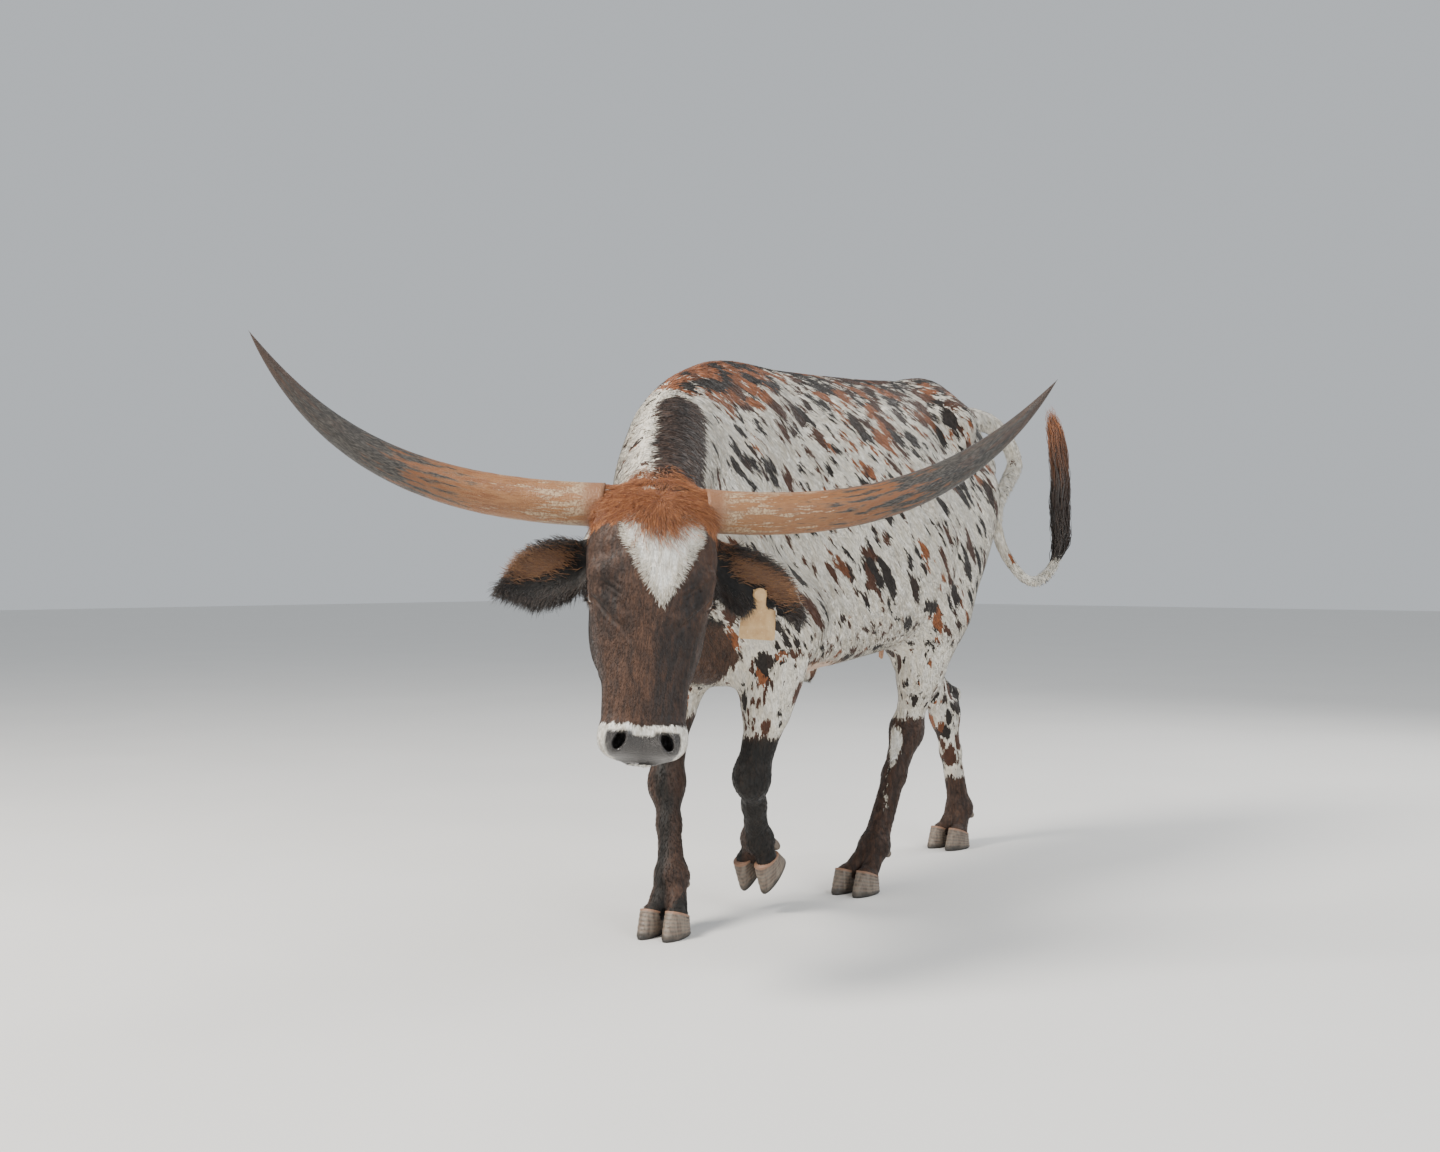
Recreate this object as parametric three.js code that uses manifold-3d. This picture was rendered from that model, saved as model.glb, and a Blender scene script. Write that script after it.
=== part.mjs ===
// A Texas longhorn cow at life size, walking, with her head lowered and turned to her left.
// Millimetres, +Z up. The cow faces -Y and her left side is +X.
// The flesh is one smooth form, described by how far a point lies outside it. Rings of
// points are laid on that form, joined into solids, and parted into the named pieces.
import * as THREE from "three";
import { mergeVertices } from "three/addons/utils/BufferGeometryUtils.js";
import Module from "manifold-3d";

const wasm = await Module();
wasm.setup();

// Driving dimensions

const GAP = 0.35; // clear space between two pieces that touch

// Trunk: stations along the back, as y, top line, widest height, belly line, half width
const TRUNK = [
  [-270, 1000, 860, 690, 50],
  [-210, 1110, 860, 600, 115],
  [-120, 1196, 870, 550, 152],
  [0, 1256, 870, 532, 178],
  [150, 1285, 860, 540, 212],
  [350, 1292, 840, 565, 255],
  [550, 1300, 840, 595, 268],
  [700, 1310, 870, 635, 244],
  [820, 1308, 930, 690, 206],
  [920, 1286, 980, 770, 164],
  [1000, 1248, 1010, 850, 120],
  [1045, 1190, 1020, 910, 82],
  [1075, 1110, 1020, 960, 28],
];
// Power of a section's curve: 2 is round, more is squarer
const TRUNK_ROUND = { above: 1.75, below: 2.15 };
const SKULL_ROUND = { front: 2.6, back: 2 };

// Neck: stations along its middle, as centre, half height, half width
const NECK = [
  { at: [0, -20, 980], high: 245, wide: 120 },
  { at: [45, -160, 965], high: 225, wide: 115 },
  { at: [115, -290, 915], high: 190, wide: 100 },
  { at: [195, -400, 865], high: 160, wide: 88 },
  { at: [265, -485, 835], high: 140, wide: 82 },
];

// Forelegs: shoulder point, elbow, knee, fetlock, and the middle of the foot's sole before its
// heel is lifted. The left one is carried off the floor.
const FORELEGS = {
  right: {
    shoulder: [-160, -165, 830],
    elbow: [-148, 20, 690],
    knee: [-82, -88, 318],
    fetlock: [-20, -138, 122],
    foot: [4, -187, 0],
    heading: 18,
    heelLift: 0,
  },
  left: {
    shoulder: [160, -165, 830],
    elbow: [158, 54, 690],
    knee: [95, 3, 338],
    fetlock: [27, 104, 178],
    foot: [8, 171, 46],
    heading: 4,
    heelLift: 46,
  },
};

// Hind legs: hip, stifle, hock, fetlock and foot
const HINDLEGS = {
  right: {
    hip: [-105, 880, 1000],
    stifle: [-140, 855, 720],
    hock: [-128, 1148, 385],
    fetlock: [-106, 1193, 108],
    foot: [-102, 1133, 0],
    heading: 0,
    heelLift: 0,
  },
  left: {
    hip: [106, 860, 1000],
    stifle: [150, 665, 700],
    hock: [66, 665, 390],
    fetlock: [70, 515, 110],
    foot: [60, 452, 0],
    heading: 6,
    heelLift: 0,
  },
};

// How thick each leg is from joint to joint
const FORELEG_THICK = {
  shoulder: 85,
  elbow: 80,
  forearm: 56,
  aboveKnee: 46,
  knee: [43, 46, 56],
  cannonTop: 36,
  cannon: 28,
  cannonEnd: 32,
};
const HINDLEG_THICK = {
  hip: 100,
  stifle: 85,
  buttock: 68,
  gaskinTop: 92,
  gaskin: 56,
  gaskinEnd: 40,
  tendon: 20,
  hock: [38, 49, 57],
  cannonTop: 40,
  cannon: 31,
  cannonEnd: 32,
};
const FETLOCK_THICK = [40, 38, 36];

// Head: its own axes run from the poll, u to the cow's left, v up the face, w out of the face
const POLL = new THREE.Vector3(296, -521, 948);
const HEAD_TURN = 46.8; // degrees, from straight ahead to the cow's left
const HEAD_TILT = 14; // degrees, the face looks up by this much
const HEAD_LEAN = 3.8; // degrees, the left horn is carried lower
// Skull stations, as distance down the face, half width, front, back
const SKULL = [
  [-5, 40, 10, -40],
  [20, 105, 45, -85],
  [60, 122, 70, -125],
  [120, 125, 83, -140],
  [190, 119, 85, -150],
  [250, 110, 78, -152],
  [310, 97, 70, -130],
  [370, 82, 64, -100],
  [430, 79, 60, -78],
  [457, 79, 58, -74],
  [483, 74, 50, -68],
  [501, 60, 34, -56],
  [514, 32, 8, -34],
];
const EYE = {
  at: [99, -206, 16],
  radius: 21,
  outward: [0.93, 0.1, 0.36],
  corner: [0.12, -0.86, 0.3],
};
const LID = { long: 18.5, tall: 12.5, thick: 5, steps: 16 };
const NOSTRIL = { at: [43, -478, 42], size: [10, 21, 17], turn: 0.45 };
// The line of the mouth, from the middle of the lips to the corner, in the head's axes
const MOUTH = {
  line: [
    [0, -500, -28],
    [54, -478, -32],
    [78, -425, -40],
    [80, -376, -50],
  ],
  axis: -425,
  steps: 18,
  deep: 7,
  proud: 12,
  gape: 4,
};

// Hair of the poll: rows down the face, with how many locks, how far to each side, and length
const POLL_HAIR = {
  rows: [
    { down: 10, count: 7, half: 82, long: 56 },
    { down: 38, count: 6, half: 86, long: 58 },
    { down: 66, count: 5, half: 66, long: 50 },
  ],
  wide: 30,
  thick: 7,
  rise: 6,
  sunk: 6,
};

// Horns: each one's curve in the head's axes, with u counted outwards. The left rises higher.
const HORN = {
  right: [[95, -22, -20], [420, -24, -60], [626, 40, -35], [784, 258, 30]],
  left: [[95, -20, -20], [420, -14, -60], [622, 68, -35], [778, 284, 30]],
  root: 40,
  tip: 3,
  rings: 20,
  sides: 12,
};

// Ear: where it leaves the head, how it runs, and its leaf shape
const EARS = {
  right: { root: [-104, -128, -55], run: [-172, -52, 25], droop: 14 },
  left: { root: [104, -104, -60], run: [180, -92, 0], droop: 4 },
};
const EAR = { wide: 63, cup: 38, thick: 6, rings: 9, sides: 8 };

// Tail: the bare length, then the length under the brush, as points and radii
const TAIL = [
  { at: [0, 1000, 1222], r: 42 },
  { at: [8, 1090, 1232], r: 34 },
  { at: [20, 1175, 1218], r: 28 },
  { at: [34, 1235, 1168], r: 25 },
  { at: [42, 1254, 1112], r: 23 },
  { at: [46, 1205, 1057], r: 21 },
  { at: [48, 1154, 1005], r: 20 },
  { at: [48, 1140, 943], r: 19 },
  { at: [48, 1166, 883], r: 18 },
  { at: [54, 1206, 832], r: 17 },
  { at: [70, 1258, 784], r: 16 },
  { at: [90, 1300, 776], r: 15.5 },
  { at: [112, 1335, 806], r: 15 },
];
const SWITCH = [
  { at: [112, 1335, 806], r: 15 },
  { at: [125, 1354, 848], r: 19 },
  { at: [135, 1360, 900], r: 22 },
  { at: [140, 1346, 980], r: 21 },
  { at: [142, 1344, 1075], r: 14 },
  { at: [141, 1336, 1135], r: 4 },
];
// The hair of the brush runs on past them to its tips
const BRUSH_TIPS = [
  [138, 1324, 1190],
  [132, 1312, 1245],
  [126, 1292, 1290],
];
const BRUSH = {
  tiers: 4,
  around: 4,
  first: 0.03,
  last: 0.6,
  long: 0.36,
  wide: 26,
  thick: 7,
  spread: 13,
  wave: 5,
};

const UDDER = { at: [0, 762, 690], size: [92, 112, 84] };
const TEAT = { x: 44, y: [708, 784], top: 640, end: 564, radii: [16, 13.5, 9] };

// Feet: one claw, its coronet heights, and the space between two claws
const CLAW = { wide: 53, front: 64, back: 42, toeHigh: 62, heelHigh: 36, cleft: 5, lip: 3, sides: 12 };
const TOE = { long: 27, deep: 35 }; // the flesh over one claw, as half widths
// Bulge sets the dewclaws of a lifted foot further back, by its degrees of lift
const DEWCLAW = { radius: 14, long: 30, spread: 24, back: 24, below: 10, bulge: 0.4 };

// Ear tag and the stud that holds it
const TAG = { wide: 66, tall: 62, neck: 24, neckWide: 26, thick: 2, corner: 6, flare: 2, turn: 4 };
const STUD = { head: 14, shank: 3, front: 6.5, deep: 26, back: 11, plate: 2.5, edge: 1.5, dome: 3.5 };

// Where the flesh is parted
const NECK_CUT = { at: [95, -235, 955], facing: [0.384, -0.788, 0.481] };
const HEAD_CUT = -150; // along w, behind the jaw and the poll
const FORELEG_CUT = { middle: 518, rise: 30, front: -450, back: 350 };
const HINDLEG_CUT = { middle: 556, rise: 30, front: 500, back: 1400 };

// Small helpers for numbers and points

const rad = THREE.MathUtils.degToRad;
const lerp = THREE.MathUtils.lerp;
const clamp = THREE.MathUtils.clamp;
const vec = (p) => new THREE.Vector3(...p);
const between = (a, b, t) => a.map((value, i) => lerp(value, b[i], t));
const UP = new THREE.Vector3(0, 0, 1);
const DOWN = new THREE.Vector3(0, 0, -1);

// One of two directions at right angles, turned towards the other by some degrees.
const turned = (a, b, angle) =>
  a.clone().multiplyScalar(Math.cos(rad(angle))).addScaledVector(b, Math.sin(rad(angle)));

// A smooth curve through stations, each station a row whose first value is its place.
function stationsCurve(rows) {
  const last = rows.length - 1;
  const slopes = rows.map((row, i) => {
    const before = rows[Math.max(i - 1, 0)];
    const after = rows[Math.min(i + 1, last)];
    return row.map((_, k) => (after[k] - before[k]) / (after[0] - before[0]));
  });
  return (place) => {
    const x = clamp(place, rows[0][0], rows[last][0]);
    let i = 0;
    while (i < last - 1 && rows[i + 1][0] < x) i++;
    const h = rows[i + 1][0] - rows[i][0];
    const t = (x - rows[i][0]) / h;
    const a = (1 + 2 * t) * (1 - t) ** 2;
    const b = t * (1 - t) ** 2 * h;
    const c = t * t * (3 - 2 * t);
    const d = t * t * (t - 1) * h;
    const after = rows[i + 1];
    return rows[i].map((v, k) => a * v + b * slopes[i][k] + c * after[k] + d * slopes[i + 1][k]);
  };
}

// The form: each function gives how far a point lies outside a shape, less than 0 inside

function blend(a, b, width) {
  const h = Math.max(width - Math.abs(a - b), 0) / width;
  return Math.min(a, b) - h * h * width * 0.25;
}

// A cone with round ends. thin makes it narrower from side to side.
function roundCone(x, y, z, a, b, ra, rb, thin = 1) {
  const dx = b[0] - a[0];
  const dy = b[1] - a[1];
  const dz = b[2] - a[2];
  const px = x - a[0];
  const py = y - a[1];
  const pz = z - a[2];
  const t = clamp((px * dx + py * dy + pz * dz) / (dx * dx + dy * dy + dz * dz), 0, 1);
  return Math.hypot((px - t * dx) / thin, py - t * dy, pz - t * dz) - lerp(ra, rb, t);
}

function ellipsoid(x, y, z, at, size) {
  const px = (x - at[0]) / size[0];
  const py = (y - at[1]) / size[1];
  const pz = (z - at[2]) / size[2];
  const near = Math.hypot(px, py, pz);
  return (near * (near - 1)) / (Math.hypot(px / size[0], py / size[1], pz / size[2]) + 1e-9);
}

// A rounded box section, as how far u and v lie out of it.
function section(u, v, power) {
  return (Math.abs(u) ** power + Math.abs(v) ** power + 1e-9) ** (1 / power);
}

const trunkAt = stationsCurve(TRUNK);
function trunk(x, y, z) {
  const [, top, middle, bottom, wide] = trunkAt(y);
  const above = z > middle;
  const v = above ? (z - middle) / (top - middle) : (middle - z) / (middle - bottom);
  const out = section(x / wide, v, above ? TRUNK_ROUND.above : TRUNK_ROUND.below) - 1;
  const d = out * Math.min(wide, (top - bottom) / 2) * 0.85;
  const past = Math.max(TRUNK[0][0] - y, y - TRUNK.at(-1)[0]);
  return past > 0 ? Math.max(d, 0) + past : d;
}

function neck(x, y, z) {
  let d = 1e4;
  for (let i = 0; i < NECK.length - 1; i++) {
    const a = NECK[i];
    const b = NECK[i + 1];
    const axis = vec(b.at).sub(vec(a.at));
    const side = new THREE.Vector3(axis.y, -axis.x, 0).normalize();
    const q = new THREE.Vector3(x, y, z).sub(vec(a.at));
    const t = clamp(q.dot(axis) / axis.lengthSq(), 0, 1);
    q.addScaledVector(axis, -t);
    const across = q.dot(side);
    const rest = q.addScaledVector(side, -across).length();
    const wide = lerp(a.wide, b.wide, t);
    const out = Math.hypot(across / wide, rest / lerp(a.high, b.high, t)) - 1;
    d = blend(d, out * wide, 50);
  }
  return d;
}

function foreleg(x, y, z, leg) {
  const { shoulder, elbow, knee, fetlock } = leg;
  const thick = FORELEG_THICK;
  const forearm = between(elbow, knee, 0.35);
  const aboveKnee = between(elbow, knee, 0.55);
  const cannon = between(knee, fetlock, 0.45);
  let d = roundCone(x, y, z, shoulder, elbow, thick.shoulder, thick.elbow);
  d = blend(d, roundCone(x, y, z, elbow, aboveKnee, thick.elbow, thick.aboveKnee), 50);
  d = blend(d, roundCone(x, y, z, forearm, knee, thick.forearm, thick.cannonTop), 40);
  d = blend(d, ellipsoid(x, y, z, knee, thick.knee), 20);
  d = blend(d, roundCone(x, y, z, knee, cannon, thick.cannonTop, thick.cannon), 20);
  d = blend(d, roundCone(x, y, z, cannon, fetlock, thick.cannon, thick.cannonEnd), 20);
  return blend(d, ellipsoid(x, y, z, fetlock, FETLOCK_THICK), 20);
}

function hindleg(x, y, z, leg) {
  const { hip, stifle, hock, fetlock } = leg;
  const thick = HINDLEG_THICK;
  const flat = 0.8;
  const buttock = [hip[0] * 0.75, hip[1] + 66, hip[2] - 80];
  const gaskin = between(stifle, hock, 0.5);
  const point = [hock[0], hock[1] + 45, hock[2] + 55];
  const cannon = between(hock, fetlock, 0.4);
  let d = roundCone(x, y, z, hip, stifle, thick.hip, thick.stifle);
  d = blend(d, roundCone(x, y, z, buttock, gaskin, thick.buttock, thick.gaskin, flat), 100);
  d = blend(d, roundCone(x, y, z, stifle, gaskin, thick.gaskinTop, thick.gaskin, flat), 60);
  d = blend(d, roundCone(x, y, z, gaskin, hock, thick.gaskin, thick.gaskinEnd, flat), 40);
  d = blend(d, roundCone(x, y, z, gaskin, point, thick.tendon, thick.tendon), 30);
  d = blend(d, roundCone(x, y, z, hock, point, thick.cannonTop, thick.tendon), 20);
  d = blend(d, ellipsoid(x, y, z, hock, thick.hock), 20);
  d = blend(d, roundCone(x, y, z, hock, cannon, thick.cannonTop, thick.cannon), 20);
  d = blend(d, roundCone(x, y, z, cannon, fetlock, thick.cannon, thick.cannonEnd), 20);
  return blend(d, ellipsoid(x, y, z, fetlock, FETLOCK_THICK), 20);
}

// The head's axes

function headAxes() {
  const facing = new THREE.Vector3(Math.sin(rad(HEAD_TURN)), -Math.cos(rad(HEAD_TURN)), 0);
  const left = new THREE.Vector3(Math.cos(rad(HEAD_TURN)), Math.sin(rad(HEAD_TURN)), 0);
  const v = turned(UP, facing, -HEAD_TILT);
  const w = turned(facing, UP, HEAD_TILT);
  return new THREE.Matrix4()
    .makeBasis(turned(left, v, -HEAD_LEAN), turned(v, left, HEAD_LEAN), w)
    .setPosition(POLL);
}
const HEAD = headAxes();
const FROM_HEAD = HEAD.clone().invert();
const HEAD_TURNED = new THREE.Matrix4().extractRotation(HEAD);
const onHead = (p) => vec(p).applyMatrix4(HEAD);
const alongHead = (p) => vec(p).transformDirection(HEAD);

const skullAt = stationsCurve(SKULL);
function skull(u, v, w) {
  const [, wide, front, back] = skullAt(-v);
  const middle = (front + back) / 2 + 20;
  const above = w > middle;
  const deep = above ? (w - middle) / (front - middle) : (middle - w) / (middle - back);
  const out = section(u / wide, deep, above ? SKULL_ROUND.front : SKULL_ROUND.back) - 1;
  let d = out * Math.min(wide, (front - back) / 2) * 0.9;
  const past = Math.max(SKULL[0][0] + v, -v - SKULL.at(-1)[0]);
  if (past > 0) d = Math.max(d, 0) + past;
  const side = Math.abs(u);
  d = blend(d, ellipsoid(side, v, w, [88, -172, 42], [29, 24, 28]), 22); // brow
  d = blend(d, ellipsoid(side, v, w, [61, -262, -78], [46, 84, 56]), 30); // cheek
  d = blend(d, ellipsoid(side, v, w, [44, -474, 26], [35, 34, 34]), 22); // wing of the nostril
  return blend(d, ellipsoid(side, v, w, [0, -468, -56], [50, 42, 26]), 20); // chin
}

function head(x, y, z) {
  const q = new THREE.Vector3(x, y, z).applyMatrix4(FROM_HEAD);
  return skull(q.x, q.y, q.z);
}

// The trunk with the shoulder, hip and pin bones, and the neck and upper legs run into it.
function barrel(x, y, z) {
  const side = Math.abs(x);
  let d = trunk(x, y, z);
  d = blend(d, roundCone(side, y, z, [50, 80, 1165], [140, -150, 860], 50, 83), 60);
  d = blend(d, roundCone(side, y, z, [30, 800, 1236], [142, 776, 1190], 44, 42), 90); // hooks
  d = blend(d, roundCone(side, y, z, [20, 990, 1186], [74, 1014, 1090], 32, 34), 60); // pins
  d = blend(d, roundCone(x, y, z, [0, 330, 560], [0, 250, 572], 26, 14, 0.5), 40); // navel fold
  d = blend(d, neck(x, y, z), 90);
  d = blend(d, roundCone(x, y, z, [285, -475, 920], [120, -270, 1050], 55, 75), 50); // crest
  d = blend(d, roundCone(x, y, z, [205, -420, 730], [20, -240, 640], 34, 44, 0.7), 60); // dewlap
  const { shoulder, elbow } = FORELEG_THICK;
  const { hip, stifle } = HINDLEG_THICK;
  for (const leg of Object.values(FORELEGS)) {
    d = blend(d, roundCone(x, y, z, leg.shoulder, leg.elbow, shoulder, elbow), 60);
  }
  for (const leg of Object.values(HINDLEGS)) {
    d = blend(d, roundCone(x, y, z, leg.hip, leg.stifle, hip, stifle), 60);
  }
  return d;
}

// The barrel with the whole of each leg.
function flesh(x, y, z) {
  let d = barrel(x, y, z);
  for (const leg of Object.values(FORELEGS)) d = blend(d, foreleg(x, y, z, leg), 60);
  for (const leg of Object.values(HINDLEGS)) d = blend(d, hindleg(x, y, z, leg), 60);
  return d;
}

// Solids

// Turns a closed geometry into a solid that can be joined and cut.
function solid(geometry) {
  const bare = geometry.index ? geometry.toNonIndexed() : geometry.clone();
  const only = new THREE.BufferGeometry().setAttribute("position", bare.getAttribute("position"));
  const merged = mergeVertices(only, 1e-4);
  return new wasm.Manifold(
    new wasm.Mesh({
      numProp: 3,
      vertProperties: merged.attributes.position.array,
      triVerts: new Uint32Array(merged.index.array),
    }),
  );
}

const join = (solids) => solids.reduce((all, one) => all.add(one));

// Keeps the largest closed surface of a solid.
function largest(one) {
  const pieces = one.decompose();
  return pieces.reduce((best, piece) => (piece.volume() > best.volume() ? piece : best));
}

// A geometry from rings of points, closed at both ends. A ring of one point is a tip.
function ringsGeometry(rings) {
  const points = [];
  const faces = [];
  const starts = rings.map((ring) => points.push(...ring) - ring.length);
  const ringSize = Math.max(...rings.map((ring) => ring.length));
  for (let i = 0; i < rings.length - 1; i++) {
    for (let k = 0; k < ringSize; k++) {
      const next = (k + 1) % ringSize;
      const a = starts[i] + (rings[i].length > 1 ? k : 0);
      const b = starts[i] + (rings[i].length > 1 ? next : 0);
      const c = starts[i + 1] + (rings[i + 1].length > 1 ? next : 0);
      const d = starts[i + 1] + (rings[i + 1].length > 1 ? k : 0);
      if (a !== b) faces.push(a, b, c);
      if (c !== d) faces.push(a, c, d);
    }
  }
  const close = (ring, start, turned) => {
    if (ring.length < 2) return;
    const middle = ring.reduce((sum, p) => sum.add(p), new THREE.Vector3()).divideScalar(ring.length);
    const at = points.push(middle) - 1;
    ring.forEach((_, k) => {
      const next = start + ((k + 1) % ring.length);
      faces.push(at, turned ? next : start + k, turned ? start + k : next);
    });
  };
  close(rings[0], starts[0], true);
  close(rings.at(-1), starts.at(-1), false);
  return facesGeometry(points, faces);
}

function facesGeometry(points, faces) {
  const values = points.flatMap((p) => p.toArray());
  const geometry = new THREE.BufferGeometry();
  geometry.setAttribute("position", new THREE.Float32BufferAttribute(values, 3));
  return geometry.setIndex(faces);
}

function ringsSolid(rings) {
  const made = solid(ringsGeometry(rings));
  if (made.volume() > 0) return made;
  return solid(ringsGeometry([...rings].reverse()));
}

// How far from a middle point the form's surface lies, up to reach.
function surfaceDistance(form, middle, direction, reach, offset) {
  const point = new THREE.Vector3();
  const f = (t) => {
    point.copy(middle).addScaledVector(direction, t);
    return form(point.x, point.y, point.z) - offset;
  };
  let near = 0;
  let far = 0;
  while (far < reach) {
    far = Math.min(far + Math.max(-f(near) * 0.7, 3), reach);
    if (f(far) > 0) break;
    near = far;
  }
  if (near >= reach) return reach;
  for (let i = 0; i < 24; i++) {
    const half = (near + far) / 2;
    if (f(half) > 0) far = half;
    else near = half;
  }
  return near;
}

// Rings laid on a form along a line of stations, each with a middle, two axes and a reach.
function wrap(form, stations, sides, offset) {
  const rings = stations.map(({ middle, u, v, reach, sink = 0 }) =>
    Array.from({ length: sides }, (_, k) => {
      const turn = (2 * Math.PI * (k + 0.5)) / sides;
      const direction = u.clone().multiplyScalar(Math.cos(turn)).addScaledVector(v, Math.sin(turn));
      const far = surfaceDistance(form, middle, direction, reach, offset - sink);
      return middle.clone().addScaledVector(direction, far);
    }),
  );
  return ringsSolid(rings);
}

// Stations along a line of points: count gives how many steps each stretch takes.
// A station can lie sunk below the form's surface, where it only roots one piece in another.
function along(points, counts, reaches, first, sinks = []) {
  const stations = [];
  const middles = points.map(vec);
  const last = middles.length - 1;
  const headings = middles.map((_, i) =>
    middles[Math.min(i + 1, last)].clone().sub(middles[Math.max(i - 1, 0)]).normalize(),
  );
  for (let i = 0; i < last; i++) {
    const steps = i === last - 1 ? counts[i] + 1 : counts[i];
    for (let step = 0; step < steps; step++) {
      const t = step / counts[i];
      const heading = headings[i].clone().lerp(headings[i + 1], t).normalize();
      const v = new THREE.Vector3().crossVectors(heading, vec(first)).normalize();
      const u = new THREE.Vector3().crossVectors(v, heading).normalize();
      stations.push({
        middle: middles[i].clone().lerp(middles[i + 1], t),
        u,
        v,
        reach: lerp(reaches[i], reaches[i + 1], t),
        sink: lerp(sinks[i] ?? 0, sinks[i + 1] ?? 0, t),
      });
    }
  }
  return stations;
}

// A tube of round sections along a smooth line, from points with radii, or a share of it.
function tube(points, steps, sides, from = 0, to = 1) {
  const curve = new THREE.CatmullRomCurve3(points.map((p) => vec(p.at)));
  const rings = [];
  const radiusAt = stationsCurve(points.map((p, i) => [i, p.r]));
  for (let i = 0; i <= steps; i++) {
    const t = lerp(from, to, i / steps);
    const middle = curve.getPoint(t);
    const heading = curve.getTangent(t);
    const v = new THREE.Vector3(1, 0.2, 0).cross(heading).normalize();
    const u = v.clone().cross(heading).normalize();
    const r = radiusAt(t * (points.length - 1))[1];
    rings.push(ringAround(middle, u, v, r, r, sides));
  }
  return ringsSolid(rings);
}

function ringAround(middle, u, v, ru, rv, sides) {
  return Array.from({ length: sides }, (_, k) => {
    const turn = (2 * Math.PI * k) / sides;
    const point = middle.clone().addScaledVector(u, ru * Math.cos(turn));
    return point.addScaledVector(v, rv * Math.sin(turn));
  });
}

// A large block that fills everything on one side of a plane.
function beyond(at, facing) {
  const big = 4000;
  const block = new THREE.BoxGeometry(big, big, big).translate(0, 0, big / 2);
  const turn = new THREE.Quaternion().setFromUnitVectors(UP, facing.clone().normalize());
  return solid(block.applyQuaternion(turn).translate(at.x, at.y, at.z));
}

// A ball, stretched by size and turned by a matrix.
function ball(at, size, turn, wide = 14, tall = 9) {
  const geometry = new THREE.SphereGeometry(1, wide, tall).scale(...size).applyMatrix4(turn);
  return solid(geometry.translate(at.x, at.y, at.z));
}

// The flesh, wrapped with rings. offset swells it to leave room for what sits on it.

const TRUNK_SIDES = 26;
const NECK_SIDES = 22;
const LEG_SIDES = 14;
const SKULL_SIDES = 26;
const REACH_PAST = 34; // how far the wrapped form may lie past the trunk's stations
const LEG_END = 26; // the leg's wrap goes this far below the fetlock

function trunkSolid(offset) {
  const ends = [TRUNK[0][0], TRUNK.at(-1)[0]];
  const steps = 28;
  const stations = [];
  for (let i = 0; i <= steps; i++) {
    const t = i / steps;
    const eased = lerp(t, (1 - Math.cos(Math.PI * t)) / 2, 0.55);
    const y = lerp(ends[0] - 8, ends[1] + 8, eased);
    const [, top, , bottom] = trunkAt(y);
    stations.push({
      middle: new THREE.Vector3(0, y, (top + bottom) / 2),
      u: new THREE.Vector3(1, 0, 0),
      v: new THREE.Vector3(0, 0, 1),
      reach: (top - bottom) / 2 + REACH_PAST,
    });
  }
  return wrap(barrel, stations, TRUNK_SIDES, offset);
}

function neckSolid(offset) {
  const points = [[0, 60, 985], ...NECK.map((n) => n.at), [320, -545, 815]];
  const reaches = [150, 255, 245, 225, 190, 160, 90];
  const form = (x, y, z) => blend(flesh(x, y, z), head(x, y, z), 30);
  return wrap(form, along(points, [1, 2, 3, 3, 2, 1], reaches, [0, 0, 1], [30, 12]), NECK_SIDES, offset);
}

function forelegSolid(leg, offset) {
  const { shoulder, elbow, knee, fetlock } = leg;
  const low = [fetlock[0], fetlock[1], fetlock[2] - LEG_END];
  const points = [
    between(shoulder, elbow, 0.6),
    between(elbow, knee, 0.12),
    between(elbow, knee, 0.5),
    knee,
    between(knee, fetlock, 0.55),
    fetlock,
    low,
  ];
  const reaches = [90, 110, 90, 80, 60, 60, 30];
  const stations = along(points, [1, 3, 4, 3, 3, 1], reaches, [1, 0, 0], [16, 3]);
  return wrap(flesh, stations, LEG_SIDES, offset);
}

function hindlegSolid(leg, offset) {
  const { hip, stifle, hock, fetlock } = leg;
  const low = [fetlock[0], fetlock[1], fetlock[2] - LEG_END];
  const points = [
    between(hip, stifle, 0.35),
    between(between(hip, stifle, 0.8), hock, 0.12),
    between(stifle, hock, 0.5),
    [hock[0], hock[1] + 10, hock[2] + 16],
    between(hock, fetlock, 0.4),
    fetlock,
    low,
  ];
  const reaches = [120, 135, 110, 85, 60, 60, 30];
  const stations = along(points, [2, 4, 4, 3, 4, 1], reaches, [1, 0, 0], [16, 3]);
  return wrap(flesh, stations, LEG_SIDES, offset);
}

function skullSolid(offset) {
  const steps = 24;
  const stations = [];
  for (let i = 0; i <= steps; i++) {
    const t = i / steps;
    const eased = lerp(t, (1 - Math.cos(Math.PI * t)) / 2, 0.5);
    const down = lerp(SKULL[0][0] - 4, SKULL.at(-1)[0] + 3, eased);
    const [, , front, back] = skullAt(down);
    stations.push({
      middle: onHead([0, -down, (front + back) / 2 + 8]),
      u: alongHead([1, 0, 0]),
      v: alongHead([0, 0, 1]),
      reach: 260,
    });
  }
  return wrap(head, stations, SKULL_SIDES, offset);
}

// Feet

const CORONET_LONG = CLAW.front * 0.45 + CLAW.back;

// The claw's own axes: x to the side, y to the toe, z up. A lifted foot turns about its toe.
function clawFrame(leg, side) {
  const shift = (x, y, z) => new THREE.Matrix4().makeTranslation(x, y, z);
  return shift(...leg.foot)
    .multiply(new THREE.Matrix4().makeRotationZ(rad(leg.heading) + Math.PI))
    .multiply(shift(0, CLAW.front, 0))
    .multiply(new THREE.Matrix4().makeRotationX(-rad(leg.heelLift)))
    .multiply(shift((side * (CLAW.wide + CLAW.cleft)) / 2, -CLAW.front, 0));
}

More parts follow.
